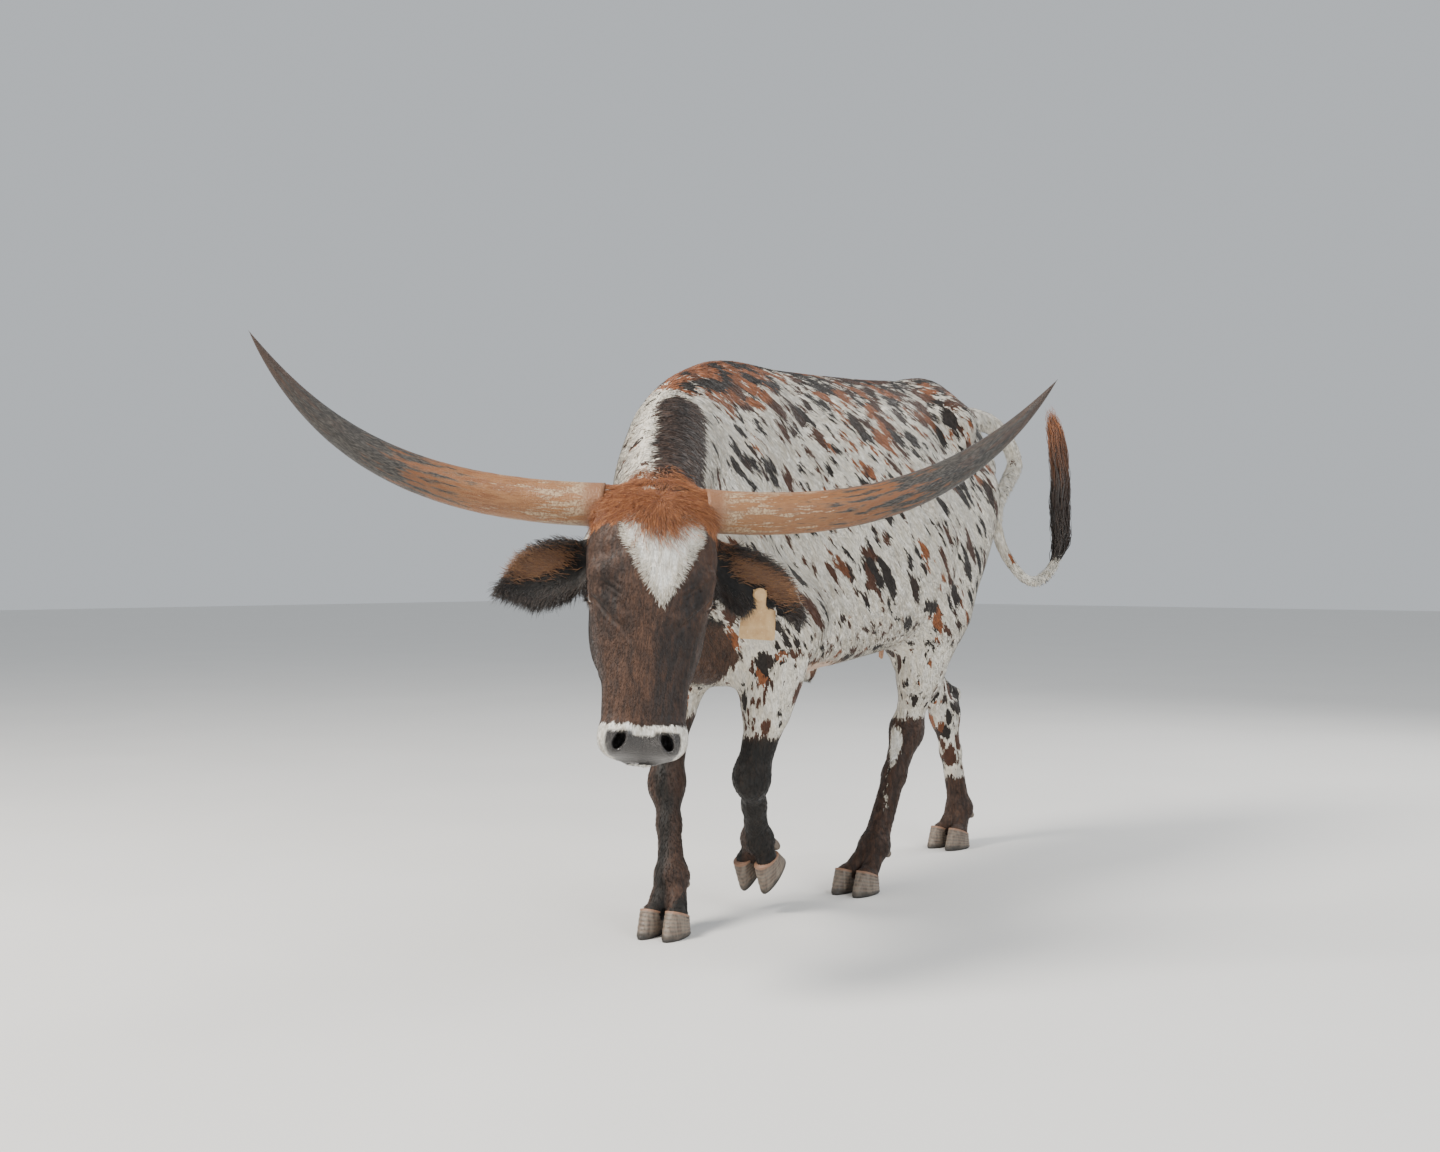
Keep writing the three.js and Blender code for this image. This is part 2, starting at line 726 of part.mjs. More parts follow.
const blunt = (value) => Math.sign(value) * Math.abs(value) ** 0.8;
const coronet = (y) => lerp(CLAW.heelHigh, CLAW.toeHigh, (y + CLAW.back) / CORONET_LONG);

// The claw's outline at a share of its height: fuller on its outer side, with a drawn-out toe.
function clawRing(side, share, grow) {
  return Array.from({ length: CLAW.sides }, (_, k) => {
    const turn = (2 * Math.PI * k) / CLAW.sides;
    const across = blunt(Math.sin(turn)) * (Math.sin(turn) * side > 0 ? 1 : 0.86);
    const forward = blunt(Math.cos(turn));
    const long = forward > 0 ? CLAW.front * (1 - 0.52 * share) : CLAW.back * (1 - 0.12 * share);
    const point = 1 - 0.3 * Math.max(forward, 0) ** 2 * (1 - share);
    const y = forward * (long + grow);
    return new THREE.Vector3(across * (CLAW.wide / 2 - 2 * share + grow) * point, y, share * coronet(y));
  });
}

function clawSolid(leg, side) {
  const frame = clawFrame(leg, side);
  const rings = [0, 0.08, 0.5, 1].map((share) => clawRing(side, share, share === 0 ? -CLAW.lip : 0));
  return ringsSolid(rings.map((ring) => ring.map((p) => p.applyMatrix4(frame))));
}

// The toe of flesh that runs from the fetlock down to the coronet of one claw.
function toeSolid(leg, side) {
  const frame = clawFrame(leg, side);
  const across = new THREE.Vector3(1, 0, 0).transformDirection(frame);
  const foot = new THREE.Vector3(0, -6, 40).applyMatrix4(frame);
  const start = vec(leg.fetlock).addScaledVector(across, side * 10);
  const up = start.clone().sub(foot).normalize();
  const v = new THREE.Vector3().crossVectors(up, across).normalize();
  const rings = [
    ringAround(start, across, v, TOE.long, TOE.deep * 0.82, 10),
    ringAround(start.clone().lerp(foot, 0.5), across, v, TOE.long - 3, TOE.deep * 0.8, 10),
    ringAround(foot, across, v, TOE.long, TOE.deep, 10),
    ringAround(foot.clone().addScaledVector(up, -30), across, v, TOE.long, TOE.deep, 10),
  ];
  const flat = new THREE.Vector3(0, -CLAW.back, CLAW.heelHigh + GAP).applyMatrix4(frame);
  const slope = new THREE.Vector3(0, CLAW.toeHigh - CLAW.heelHigh, -CORONET_LONG);
  return ringsSolid(rings).subtract(beyond(flat, slope.transformDirection(frame)));
}

function dewclawSolid(leg, side, grow = 0) {
  const back = new THREE.Vector3(0, 1, 0).applyAxisAngle(UP, rad(leg.heading));
  const across = new THREE.Vector3(-back.y, back.x, 0);
  const root = vec(leg.fetlock).addScaledVector(DOWN, DEWCLAW.below);
  root.addScaledVector(across, side * DEWCLAW.spread);
  root.addScaledVector(back, DEWCLAW.back + DEWCLAW.bulge * leg.heelLift);
  const start = root.clone().addScaledVector(across, -side * 7).addScaledVector(back, -14);
  const end = root.addScaledVector(back, 12).addScaledVector(DOWN, DEWCLAW.long * 0.6);
  const heading = end.clone().sub(start).normalize();
  start.addScaledVector(heading, -grow);
  const v = new THREE.Vector3().crossVectors(heading, across).normalize();
  const rings = [1, 0.95, 0.55].map((size, i) => {
    const r = DEWCLAW.radius * size + grow;
    return ringAround(start.clone().lerp(end, i / 2), across, v, r, r, 8);
  });
  return ringsSolid(rings);
}

// Horns and ears

function hornCurve(side) {
  const points = side > 0 ? HORN.left : HORN.right;
  return new THREE.CubicBezierCurve3(...points.map((p) => onHead([p[0] * side, p[1], p[2]])));
}

function hornSolid(side, grow) {
  const curve = hornCurve(side);
  const across = alongHead([0, 0, 1]);
  const rings = [];
  for (let i = 0; i < HORN.rings; i++) {
    const t = i / HORN.rings;
    const heading = curve.getTangent(t);
    const v = new THREE.Vector3().crossVectors(heading, across).normalize();
    const u = new THREE.Vector3().crossVectors(v, heading).normalize();
    const r = HORN.root * (1 - t ** 2.8) ** 0.9 * (1 - 0.15 * t) + HORN.tip + grow;
    rings.push(ringAround(curve.getPoint(t), u, v, r, r, HORN.sides));
  }
  rings.push([curve.getPoint(1)]);
  return ringsSolid(rings);
}

// One section of the ear: a curved strip, its hollow side towards the face.
function earRing(ear, t, grow) {
  const run = alongHead(ear.run);
  const face = alongHead([0, 0, 1]);
  face.addScaledVector(run, -face.dot(run)).normalize();
  const across = new THREE.Vector3().crossVectors(run, face).normalize();
  const middle = onHead(ear.root).addScaledVector(run, t * vec(ear.run).length());
  middle.addScaledVector(DOWN, ear.droop * t * t);
  const half = EAR.wide * Math.sin(Math.PI * (t * 0.8 + 0.17)) ** 0.8 + grow;
  const curl = lerp(1.5, 0.55, t);
  const ring = [];
  for (const outer of [1, -1]) {
    for (let k = 0; k < EAR.sides; k++) {
      const s = outer * ((2 * k) / EAR.sides - 1);
      const skin = outer * (EAR.thick / 2 + grow) * (1 - 0.5 * s * s);
      const depth = EAR.cup * (1 - Math.cos(s * curl)) - skin;
      const side = (half * Math.sin(s * curl)) / Math.max(curl, 0.8);
      ring.push(middle.clone().addScaledVector(across, side).addScaledVector(face, depth));
    }
  }
  return ring;
}

function earSolid(ear, grow = 0) {
  const rings = [];
  for (let i = 0; i <= EAR.rings; i++) rings.push(earRing(ear, i / EAR.rings, grow));
  return ringsSolid(rings);
}

// The line of the mouth: a wedge that runs round the muzzle from corner to corner.
function mouthSolid() {
  const mirrored = MOUTH.line.slice(1).reverse().map(([u, v, w]) => [-u, v, w]);
  const line = new THREE.CatmullRomCurve3([...mirrored, ...MOUTH.line].map(vec));
  const normal = alongHead([0, 0, 1]);
  const rings = [];
  for (let i = 0; i <= MOUTH.steps; i++) {
    const at = line.getPoint(i / MOUTH.steps);
    const axis = onHead([0, MOUTH.axis, at.z]);
    const out = alongHead([at.x, at.y - MOUTH.axis, 0]);
    const lips = surfaceDistance(head, axis, out, 200, 0);
    const fromCorner = Math.min(i, MOUTH.steps - i) / MOUTH.steps;
    const deep = MOUTH.deep * Math.min(1, 0.25 + 6 * fromCorner);
    const half = ((MOUTH.gape / 2) * (deep + MOUTH.proud)) / MOUTH.deep;
    const outer = axis.clone().addScaledVector(out, lips + MOUTH.proud);
    rings.push([
      axis.clone().addScaledVector(out, lips - deep),
      outer.clone().addScaledVector(normal, half),
      outer.clone().addScaledVector(normal, -half),
    ]);
  }
  return ringsSolid(rings);
}

// Eyes and lids

const onSide = (p, side) => onHead([p[0] * side, p[1], p[2]]);
const alongSide = (p, side) => alongHead([p[0] * side, p[1], p[2]]);

function eyeSolid(side, grow = 0) {
  const r = EYE.radius + grow;
  return ball(onSide(EYE.at, side), [r, r, r], HEAD_TURNED);
}

function lidSolid(side) {
  const out = alongSide(EYE.outward, side);
  const corner = alongSide(EYE.corner, side);
  corner.addScaledVector(out, -corner.dot(out)).normalize();
  const up = new THREE.Vector3().crossVectors(out, corner).multiplyScalar(side).normalize();
  const sphere = EYE.radius + 2;
  const points = [];
  for (let k = 0; k < LID.steps; k++) {
    const turn = (2 * Math.PI * k) / LID.steps;
    const x = LID.long * Math.cos(turn);
    const y = LID.tall * Math.sin(turn);
    const point = onSide(EYE.at, side).addScaledVector(out, Math.sqrt(sphere ** 2 - x * x - y * y));
    points.push(point.addScaledVector(corner, x).addScaledVector(up, y));
  }
  return ringTube(points, LID.thick, 6);
}

// A closed ring of round section through points.
function ringTube(points, radius, sides) {
  const count = points.length;
  const middle = points.reduce((sum, p) => sum.add(p), new THREE.Vector3()).divideScalar(count);
  const rims = points.flatMap((p, i) => {
    const heading = points[(i + 1) % count].clone().sub(points[(i + count - 1) % count]).normalize();
    const outward = p.clone().sub(middle);
    outward.addScaledVector(heading, -outward.dot(heading)).normalize();
    const v = new THREE.Vector3().crossVectors(heading, outward);
    return ringAround(p, outward, v, radius, radius, sides);
  });
  const faces = [];
  for (let i = 0; i < count; i++) {
    const next = (i + 1) % count;
    for (let k = 0; k < sides; k++) {
      const after = (k + 1) % sides;
      const corner = next * sides + after;
      faces.push(i * sides + k, i * sides + after, corner);
      faces.push(i * sides + k, corner, next * sides + k);
    }
  }
  const made = solid(facesGeometry(rims, faces));
  return made.volume() > 0 ? made : solid(facesGeometry(rims, faces.reverse()));
}

// Long hair, as flat tapered locks

// Even draws from 0 to 1 that are the same in every run.
let drawn = 7;
function draw() {
  drawn = (drawn * 16807) % 2147483647;
  return drawn / 2147483647;
}

// A lock from rings of four points: middle gives the lock's line, flat its thin direction.
function lockSolid({ middle, flat, wide, thick, steps }) {
  const rings = [];
  for (let i = 0; i < steps; i++) {
    const t = i / steps;
    const heading = middle(t + 0.02).sub(middle(t)).normalize();
    const thin = flat(t).clone();
    thin.addScaledVector(heading, -thin.dot(heading)).normalize();
    const across = new THREE.Vector3().crossVectors(heading, thin).normalize();
    const taper = Math.min(1, 0.75 + 0.6 * t) * (1 - t ** 2.5);
    rings.push(ringAround(middle(t), across, thin, (wide / 2) * taper, (thick / 2) * (1 - 0.6 * t), 4));
  }
  rings.push([middle(1)]);
  return ringsSolid(rings);
}

// The locks of the tail's brush lie along its line in tiers, each tier over the next.
function brushLocks() {
  const points = [...SWITCH.slice(0, -1).map((p) => p.at), ...BRUSH_TIPS];
  const line = new THREE.CatmullRomCurve3(points.map(vec));
  const locks = [];
  for (let tier = 0; tier < BRUSH.tiers; tier++) {
    for (let i = 0; i < BRUSH.around; i++) {
      const share = (tier + 0.5 * (i % 2)) / (BRUSH.tiers - 0.5);
      const from = lerp(BRUSH.first, BRUSH.last, share);
      const to = Math.min(from + BRUSH.long * (0.9 + 0.25 * draw()), 1 - 0.06 * draw());
      const turn = ((i + 0.5 * tier) * 2 * Math.PI) / BRUSH.around + 0.4 * draw();
      const phase = 6 * draw();
      const outwards = (t) => {
        const heading = line.getTangent(lerp(from, to, t));
        const u = new THREE.Vector3(0, 1, 0.3).cross(heading).normalize();
        const v = heading.clone().cross(u).normalize();
        return u.multiplyScalar(Math.cos(turn)).addScaledVector(v, Math.sin(turn));
      };
      const middle = (t) => {
        const place = lerp(from, to, t);
        const hull = 14 * Math.sin(Math.PI * clamp(place * 1.15, 0, 1)) + 4;
        const out = hull + BRUSH.spread * Math.sin(Math.PI * Math.min(t * 0.8, 1)) * (1 - 0.4 * share);
        const sway = BRUSH.wave * Math.sin(place * 34 + phase) * t;
        const point = line.getPoint(place).addScaledVector(outwards(t), out);
        return point.add(new THREE.Vector3(sway * 0.6, sway, 0));
      };
      locks.push(lockSolid({ middle, flat: outwards, wide: BRUSH.wide, thick: BRUSH.thick, steps: 5 }));
    }
  }
  return locks;
}

// A point of the head's skin in front of u and v, with the way out of the skin there.
function skinOfHead(u, v) {
  const start = onHead([u, v, -20]);
  const out = alongHead([0, 0, 1]);
  const point = start.clone().addScaledVector(out, surfaceDistance(head, start, out, 160, 0));
  const step = 2;
  const rise = (x, y, z) =>
    head(point.x + x, point.y + y, point.z + z) - head(point.x - x, point.y - y, point.z - z);
  const normal = new THREE.Vector3(rise(step, 0, 0), rise(0, step, 0), rise(0, 0, step)).normalize();
  return { point, normal };
}

// Rows of locks over the poll and down the forehead, combed down and outwards.
function pollLocks() {
  const { rows, wide, thick, rise, sunk } = POLL_HAIR;
  const locks = [];
  for (const row of rows) {
    for (let i = 0; i < row.count; i++) {
      const share = (2 * i) / (row.count - 1) - 1;
      const { point, normal } = skinOfHead(share * row.half + 5 * (draw() - 0.5), -row.down - 6 * draw());
      const lie = alongHead([share * 0.75 + 0.3 * (draw() - 0.5), -1, 0]);
      lie.addScaledVector(normal, -lie.dot(normal)).normalize();
      const long = row.long * (0.85 + 0.3 * draw());
      const middle = (t) => {
        const lifted = Math.sin(Math.PI * Math.min(t * 0.75 + 0.01, 0.5));
        const out = lerp(-sunk, rise, lifted) - 6 * t * t;
        const onLine = point.clone().addScaledVector(normal, out).addScaledVector(lie, long * (t - 0.12));
        return onLine.addScaledVector(DOWN, 4 * t * t);
      };
      locks.push(lockSolid({ middle, flat: () => normal, wide, thick, steps: 4 }));
    }
  }
  return locks;
}

// Udder

function udderSolid() {
  const parts = [ball(vec(UDDER.at), UDDER.size, new THREE.Matrix4())];
  for (const x of [-TEAT.x, TEAT.x]) {
    for (const y of TEAT.y) {
      const teat = TEAT.radii.map((r, i) => ({ at: [x, y, lerp(TEAT.top, TEAT.end, i / 2)], r }));
      parts.push(tube(teat, 3, 8));
    }
  }
  return join(parts);
}

// Ear tag

function tagFrame() {
  const ear = EARS.left;
  const at = onHead(ear.root).addScaledVector(alongHead(ear.run), vec(ear.run).length() * 0.6);
  at.z -= 10;
  const facing = alongHead([0, 0, 1]).setZ(0).normalize();
  const across = new THREE.Vector3().crossVectors(UP, facing);
  return new THREE.Matrix4().makeBasis(across, UP, facing).setPosition(at);
}

// The stud's outline from its front head, along its shank, to its back plate.
function studSolid(grow) {
  const rim = STUD.head + grow;
  const shank = STUD.shank + grow;
  const plate = STUD.back + grow;
  const back = STUD.front - STUD.deep;
  const profile = [
    [0, back - STUD.plate - grow],
    [plate, back - STUD.plate - grow],
    [plate, back + grow],
    [shank, back + grow],
    [shank, STUD.front - grow],
    [rim, STUD.front - grow],
    [rim, STUD.front + STUD.edge],
    [rim - 3, STUD.front + STUD.dome + grow],
    [0, STUD.front + STUD.dome + grow],
  ];
  const lathe = new THREE.LatheGeometry(profile.map(([r, y]) => new THREE.Vector2(r, y)), 12);
  return solid(lathe.rotateX(Math.PI / 2).applyMatrix4(tagFrame()));
}

// The tag's outline: a narrow neck behind the stud, then the wide plate with round corners.
function tagSolid(grow = 0) {
  const wide = TAG.wide / 2;
  const neck = TAG.neckWide / 2;
  const low = -TAG.neck - TAG.tall;
  const { corner, flare } = TAG;
  const shape = new THREE.Shape();
  shape.moveTo(-neck, 10);
  shape.lineTo(neck, 10);
  shape.lineTo(neck, corner - TAG.neck);
  shape.quadraticCurveTo(neck, -TAG.neck, wide, -TAG.neck - 4);
  shape.lineTo(wide + flare, low + corner);
  shape.quadraticCurveTo(wide + flare, low, wide + flare - corner, low);
  shape.lineTo(-wide - flare + corner, low);
  shape.quadraticCurveTo(-wide - flare, low, -wide - flare, low + corner);
  shape.lineTo(-wide, -TAG.neck - 4);
  shape.quadraticCurveTo(-neck, -TAG.neck, -neck, corner - TAG.neck);
  const depth = TAG.thick + 2 * grow;
  const plate = new THREE.ExtrudeGeometry(shape, { depth, bevelEnabled: false, curveSegments: 3 });
  plate.translate(0, 0, STUD.front - 0.8 - TAG.thick - grow);
  return solid(plate.rotateZ(rad(-TAG.turn)).applyMatrix4(tagFrame()));
}

// Materials, one for each kind of surface

const finish = (color, roughness) => new THREE.MeshStandardMaterial({ color, roughness, metalness: 0 });
const HIDE = finish(0xd9d2c4, 0.8);
const DARK_HIDE = finish(0x4a3a30, 0.75);
const HORN_COVER = finish(0x6a5a48, 0.45);
const HOOF = finish(0x6b6259, 0.55);
const SKIN = finish(0xc98f6f, 0.7);
const EYEBALL = finish(0x120c08, 0.08);
const HAIR = finish(0x8a5a34, 0.85);
const TAG_PLASTIC = finish(0xc9a24e, 0.5);

// Assembly

const cow = new THREE.Group();

function addNode(name, one, material) {
  const mesh = one.getMesh();
  const geometry = new THREE.BufferGeometry();
  geometry.setAttribute("position", new THREE.BufferAttribute(mesh.vertProperties, 3));
  geometry.setIndex(new THREE.BufferAttribute(mesh.triVerts, 1));
  const made = new THREE.Mesh(geometry, material);
  made.name = name;
  cow.add(made);
}

const SIDES = { left: 1, right: -1 };
const legList = Object.entries(SIDES).flatMap(([side, s]) => [
  { name: `foreleg_${side}`, s, leg: FORELEGS[side], wrapLeg: forelegSolid, cut: FORELEG_CUT },
  { name: `hindleg_${side}`, s, leg: HINDLEGS[side], wrapLeg: hindlegSolid, cut: HINDLEG_CUT },
]);

function bodySolid(offset) {
  const legs = legList.map(({ leg, wrapLeg }) => wrapLeg(leg, offset));
  return join([trunkSolid(offset), neckSolid(offset), ...legs]);
}

// The block that takes in one leg, its top sloping up to the outside.
function legBlock({ s, cut }, grow) {
  const wide = 600;
  const tall = 1200;
  const block = new THREE.BoxGeometry(wide, cut.back - cut.front, tall).translate(0, 0, grow - tall / 2);
  block.rotateY(-s * rad(cut.rise)).translate(0, (cut.front + cut.back) / 2, cut.middle);
  const outside = beyond(new THREE.Vector3(s * (1 - grow), 0, 0), new THREE.Vector3(s, 0, 0));
  return solid(block).intersect(outside);
}

const faceOut = alongHead([0, 0, 1]);
const neckFacing = vec(NECK_CUT.facing).normalize();
const neckPlane = vec(NECK_CUT.at);
const neckPlaneFront = neckPlane.clone().addScaledVector(neckFacing, GAP);

const allFlesh = bodySolid(0).add(skullSolid(0));
const swollenBody = bodySolid(GAP);
const swollenHead = skullSolid(GAP).add(swollenBody);
const wholeHead = allFlesh.intersect(beyond(onHead([0, 0, HEAD_CUT]), faceOut));
const behindHead = allFlesh.subtract(beyond(onHead([0, 0, HEAD_CUT - GAP]), faceOut));
const trunkAndLegs = behindHead.subtract(beyond(neckPlane, neckFacing));

// Legs, feet and claws
let torso = trunkAndLegs;
for (const entry of legList) {
  let leg = largest(trunkAndLegs.intersect(legBlock(entry, -GAP)));
  torso = torso.subtract(legBlock(entry, 0));
  for (const side of [1, -1]) {
    const where = side === -entry.s ? "outer" : "inner";
    leg = leg.add(toeSolid(entry.leg, side));
    addNode(`claw_${entry.name}_${where}`, clawSolid(entry.leg, side), HOOF);
    addNode(`dewclaw_${entry.name}_${where}`, dewclawSolid(entry.leg, -side), HOOF);
  }
  for (const side of [1, -1]) leg = leg.subtract(dewclawSolid(entry.leg, side, GAP));
  addNode(entry.name, largest(leg), HIDE);
}
addNode("torso", largest(torso), HIDE);
addNode("neck", largest(behindHead.intersect(beyond(neckPlaneFront, neckFacing))), HIDE);

// Head with its hair, sockets, lids, nostrils and the line of the mouth
let headSolid = wholeHead.subtract(mouthSolid());
const swollenHorns = hornSolid(1, GAP).add(hornSolid(-1, GAP));
for (const lock of pollLocks()) headSolid = headSolid.add(largest(lock.subtract(swollenHorns)));
for (const side of [1, -1]) {
  const lean = new THREE.Matrix4().makeRotationZ(-side * NOSTRIL.turn).premultiply(HEAD_TURNED);
  const nostril = ball(onSide(NOSTRIL.at, side), NOSTRIL.size, lean, 10, 7);
  headSolid = headSolid.add(lidSolid(side)).subtract(eyeSolid(side, GAP)).subtract(nostril);
}
addNode("head", largest(headSolid), DARK_HIDE);

for (const [name, side] of Object.entries(SIDES)) {
  addNode(`eye_${name}`, eyeSolid(side), EYEBALL);
  addNode(`horn_${name}`, largest(hornSolid(side, 0).subtract(swollenHead)), HORN_COVER);
  let ear = largest(earSolid(EARS[name]).subtract(swollenHead).subtract(hornSolid(side, GAP)));
  if (name === "left") ear = ear.subtract(studSolid(GAP)).subtract(tagSolid(GAP + 1));
  addNode(`ear_${name}`, largest(ear), DARK_HIDE);
}
addNode("ear_tag_plate", tagSolid().subtract(studSolid(GAP)), TAG_PLASTIC);
addNode("ear_tag_stud", studSolid(0), TAG_PLASTIC);

addNode("udder", largest(udderSolid().subtract(swollenBody)), SKIN);
const bones = [...TAIL, ...SWITCH.slice(1)];
const parting = (TAIL.length - 1) / (bones.length - 1);
const partingGap = 0.0006; // share of the tail's length that clears GAP between the two pieces
addNode("tail", largest(tube(bones, 24, 10, 0, parting).subtract(swollenBody)), HIDE);
const brush = join([tube(bones, 7, 10, parting + partingGap, 1), ...brushLocks()]);
addNode("tail_switch", largest(brush), HAIR);

// The origin is on the floor, under the middle of the whole cow
const box = new THREE.Box3().setFromObject(cow);
const middle = box.getCenter(new THREE.Vector3());
cow.position.set(-middle.x, -middle.y, -box.min.z);

export default cow;
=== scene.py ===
import bpy
import numpy as np
from mathutils import Matrix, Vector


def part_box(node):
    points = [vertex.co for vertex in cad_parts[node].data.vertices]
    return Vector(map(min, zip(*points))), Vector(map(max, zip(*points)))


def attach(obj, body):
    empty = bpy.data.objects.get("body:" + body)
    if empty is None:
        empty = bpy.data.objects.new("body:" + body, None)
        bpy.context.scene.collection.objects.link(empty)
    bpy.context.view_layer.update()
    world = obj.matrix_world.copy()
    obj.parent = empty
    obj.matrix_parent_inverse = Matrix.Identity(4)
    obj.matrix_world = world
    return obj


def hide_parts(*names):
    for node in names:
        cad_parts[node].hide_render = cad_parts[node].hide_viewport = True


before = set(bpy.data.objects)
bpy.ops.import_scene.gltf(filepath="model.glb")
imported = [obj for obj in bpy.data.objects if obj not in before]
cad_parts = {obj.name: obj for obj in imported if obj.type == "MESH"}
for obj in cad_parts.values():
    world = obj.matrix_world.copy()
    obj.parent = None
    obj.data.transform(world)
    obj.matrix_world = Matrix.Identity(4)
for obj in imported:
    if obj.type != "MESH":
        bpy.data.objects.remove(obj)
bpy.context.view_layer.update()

# The cow is shaped in millimetres in her own axes: her left is +x, her tail +y, up +z, and the
# floor lies under her withers at 0. The pieces are in metres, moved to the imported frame's place.

COAT = 3.0
rng = np.random.default_rng(11)

# Trunk stations: y, top line, widest height, belly line, half width
TRUNK = [
    (-270, 1000, 860, 690, 50),
    (-210, 1110, 860, 600, 115),
    (-120, 1196, 870, 550, 152),
    (0, 1256, 870, 532, 178),
    (150, 1285, 860, 540, 212),
    (350, 1292, 840, 565, 255),
    (550, 1300, 840, 595, 268),
    (700, 1310, 870, 635, 244),
    (820, 1308, 930, 690, 206),
    (920, 1286, 980, 770, 164),
    (1000, 1248, 1010, 850, 120),
    (1045, 1190, 1020, 910, 82),
    (1075, 1110, 1020, 960, 28),
]
NECK = [
    ((0, -20, 980), 245, 120),
    ((45, -160, 965), 225, 115),
    ((115, -290, 915), 190, 100),
    ((195, -400, 865), 160, 88),
    ((265, -485, 835), 140, 82),
]
FORELEGS = {
    "right": dict(shoulder=(-160, -165, 830), elbow=(-148, 20, 690), knee=(-82, -88, 318),
                  fetlock=(-20, -138, 122), foot=(4, -187, 0), heading=18, lift=0),
    "left": dict(shoulder=(160, -165, 830), elbow=(158, 54, 690), knee=(95, 3, 338),
                 fetlock=(27, 104, 178), foot=(8, 171, 46), heading=4, lift=46),
}
HINDLEGS = {
    "right": dict(hip=(-105, 880, 1000), stifle=(-140, 855, 720), hock=(-128, 1148, 385),
                  fetlock=(-106, 1193, 108), foot=(-102, 1133, 0), heading=0, lift=0),
    "left": dict(hip=(106, 860, 1000), stifle=(150, 665, 700), hock=(66, 665, 390),
                 fetlock=(70, 515, 110), foot=(60, 452, 0), heading=6, lift=0),
}
POLL = np.array((296.0, -521.0, 948.0))
HEAD_TURN, HEAD_TILT, HEAD_LEAN = np.radians((46.8, 14.0, 3.8))
# Skull stations: distance down the face, half width, front, back
SKULL = [
    (-5, 40, 10, -40),
    (20, 105, 45, -85),
    (60, 122, 70, -125),
    (120, 125, 83, -140),
    (190, 119, 85, -150),
    (250, 110, 78, -152),
    (310, 97, 70, -130),
    (370, 82, 64, -100),
    (430, 79, 60, -78),
    (457, 79, 58, -74),
    (483, 74, 50, -68),
    (501, 60, 34, -56),
    (514, 32, 8, -34),
]
EYE = np.array((99.0, -206.0, 16.0))
EYE_RADIUS = 21.0
EYE_OUT = np.array((0.93, 0.1, 0.36))
EYE_CORNER = np.array((0.12, -0.86, 0.3))
HORNS = {
    "right": ((95, -22, -20), (420, -24, -60), (626, 40, -35), (784, 258, 30)),
    "left": ((95, -20, -20), (420, -14, -60), (622, 68, -35), (778, 284, 30)),
}
HORN_ROOT, HORN_TIP = 40.0, 3.0
EARS = {
    "right": dict(root=(-104, -128, -55), run=(-172, -52, 25), droop=14),
    "left": dict(root=(104, -104, -60), run=(180, -92, 0), droop=4),
}
EAR_WIDE, EAR_CUP, EAR_THICK = 63.0, 38.0, 6.0
TAIL = [
    ((0, 1000, 1222), 42),
    ((8, 1090, 1232), 34),
    ((20, 1175, 1218), 28),
    ((34, 1235, 1168), 25),
    ((42, 1254, 1112), 23),
    ((46, 1205, 1057), 21),
    ((48, 1154, 1005), 20),
    ((48, 1140, 943), 19),
    ((48, 1166, 883), 18),
    ((54, 1206, 832), 17),
    ((70, 1258, 784), 16),
    ((90, 1300, 776), 15.5),
    ((112, 1335, 806), 15),
    ((125, 1354, 848), 12),
]
BRUSH_LINE = [
    (112, 1335, 806),
    (125, 1354, 848),
    (135, 1360, 900),
    (140, 1346, 980),
    (142, 1344, 1075),
    (138, 1324, 1190),
    (132, 1312, 1245),
    (126, 1292, 1290),
]
UDDER = ((0, 762, 690), (92, 112, 84))
TEATS = [(x, y) for x in (-44, 44) for y in (708, 784)]
CLAW = dict(wide=53, front=64, back=42, toe_high=62, heel_high=36, cleft=5)
DEWCLAW = dict(radius=14, long=30, spread=24, back=24, below=10, bulge=0.4)


def unit(v):
    v = np.asarray(v, float)
    return v / np.maximum(np.linalg.norm(v, axis=-1, keepdims=True), 1e-9)


def between(a, b, t):
    return tuple(np.array(a, float) * (1 - t) + np.array(b, float) * t)


def smooth(low, high, value):
    t = np.clip((value - low) / (high - low), 0, 1)
    return t * t * (3 - 2 * t)


def stations_curve(rows):
    """Smooth curves through rows of values, read at the places of the rows' first column."""
    table = np.array(rows, float)
    last = len(table) - 1
    before = table[np.maximum(np.arange(last + 1) - 1, 0)]
    after = table[np.minimum(np.arange(last + 1) + 1, last)]
    slopes = (after - before) / (after[:, :1] - before[:, :1])

    def at(place):
        x = np.clip(place, table[0, 0], table[-1, 0])
        i = np.clip(np.searchsorted(table[:, 0], x) - 1, 0, last - 1)
        h = (table[i + 1, 0] - table[i, 0])[:, None]
        t = (x - table[i, 0])[:, None] / h
        a = (1 + 2 * t) * (1 - t) ** 2
        b = t * (1 - t) ** 2 * h
        c = t * t * (3 - 2 * t)
        d = t * t * (t - 1) * h
        return (a * table[i] + b * slopes[i] + c * table[i + 1] + d * slopes[i + 1]).T

    return at


# Forms: each gives how far points p (rows of x, y, z) lie outside a shape


def blend(a, b, width):
    """Two forms joined with a soft fillet."""
    h = np.maximum(width - np.abs(a - b), 0) / width
    return np.minimum(a, b) - h * h * width * 0.25


def carve(a, b, width):
    return -blend(-a, b, width)


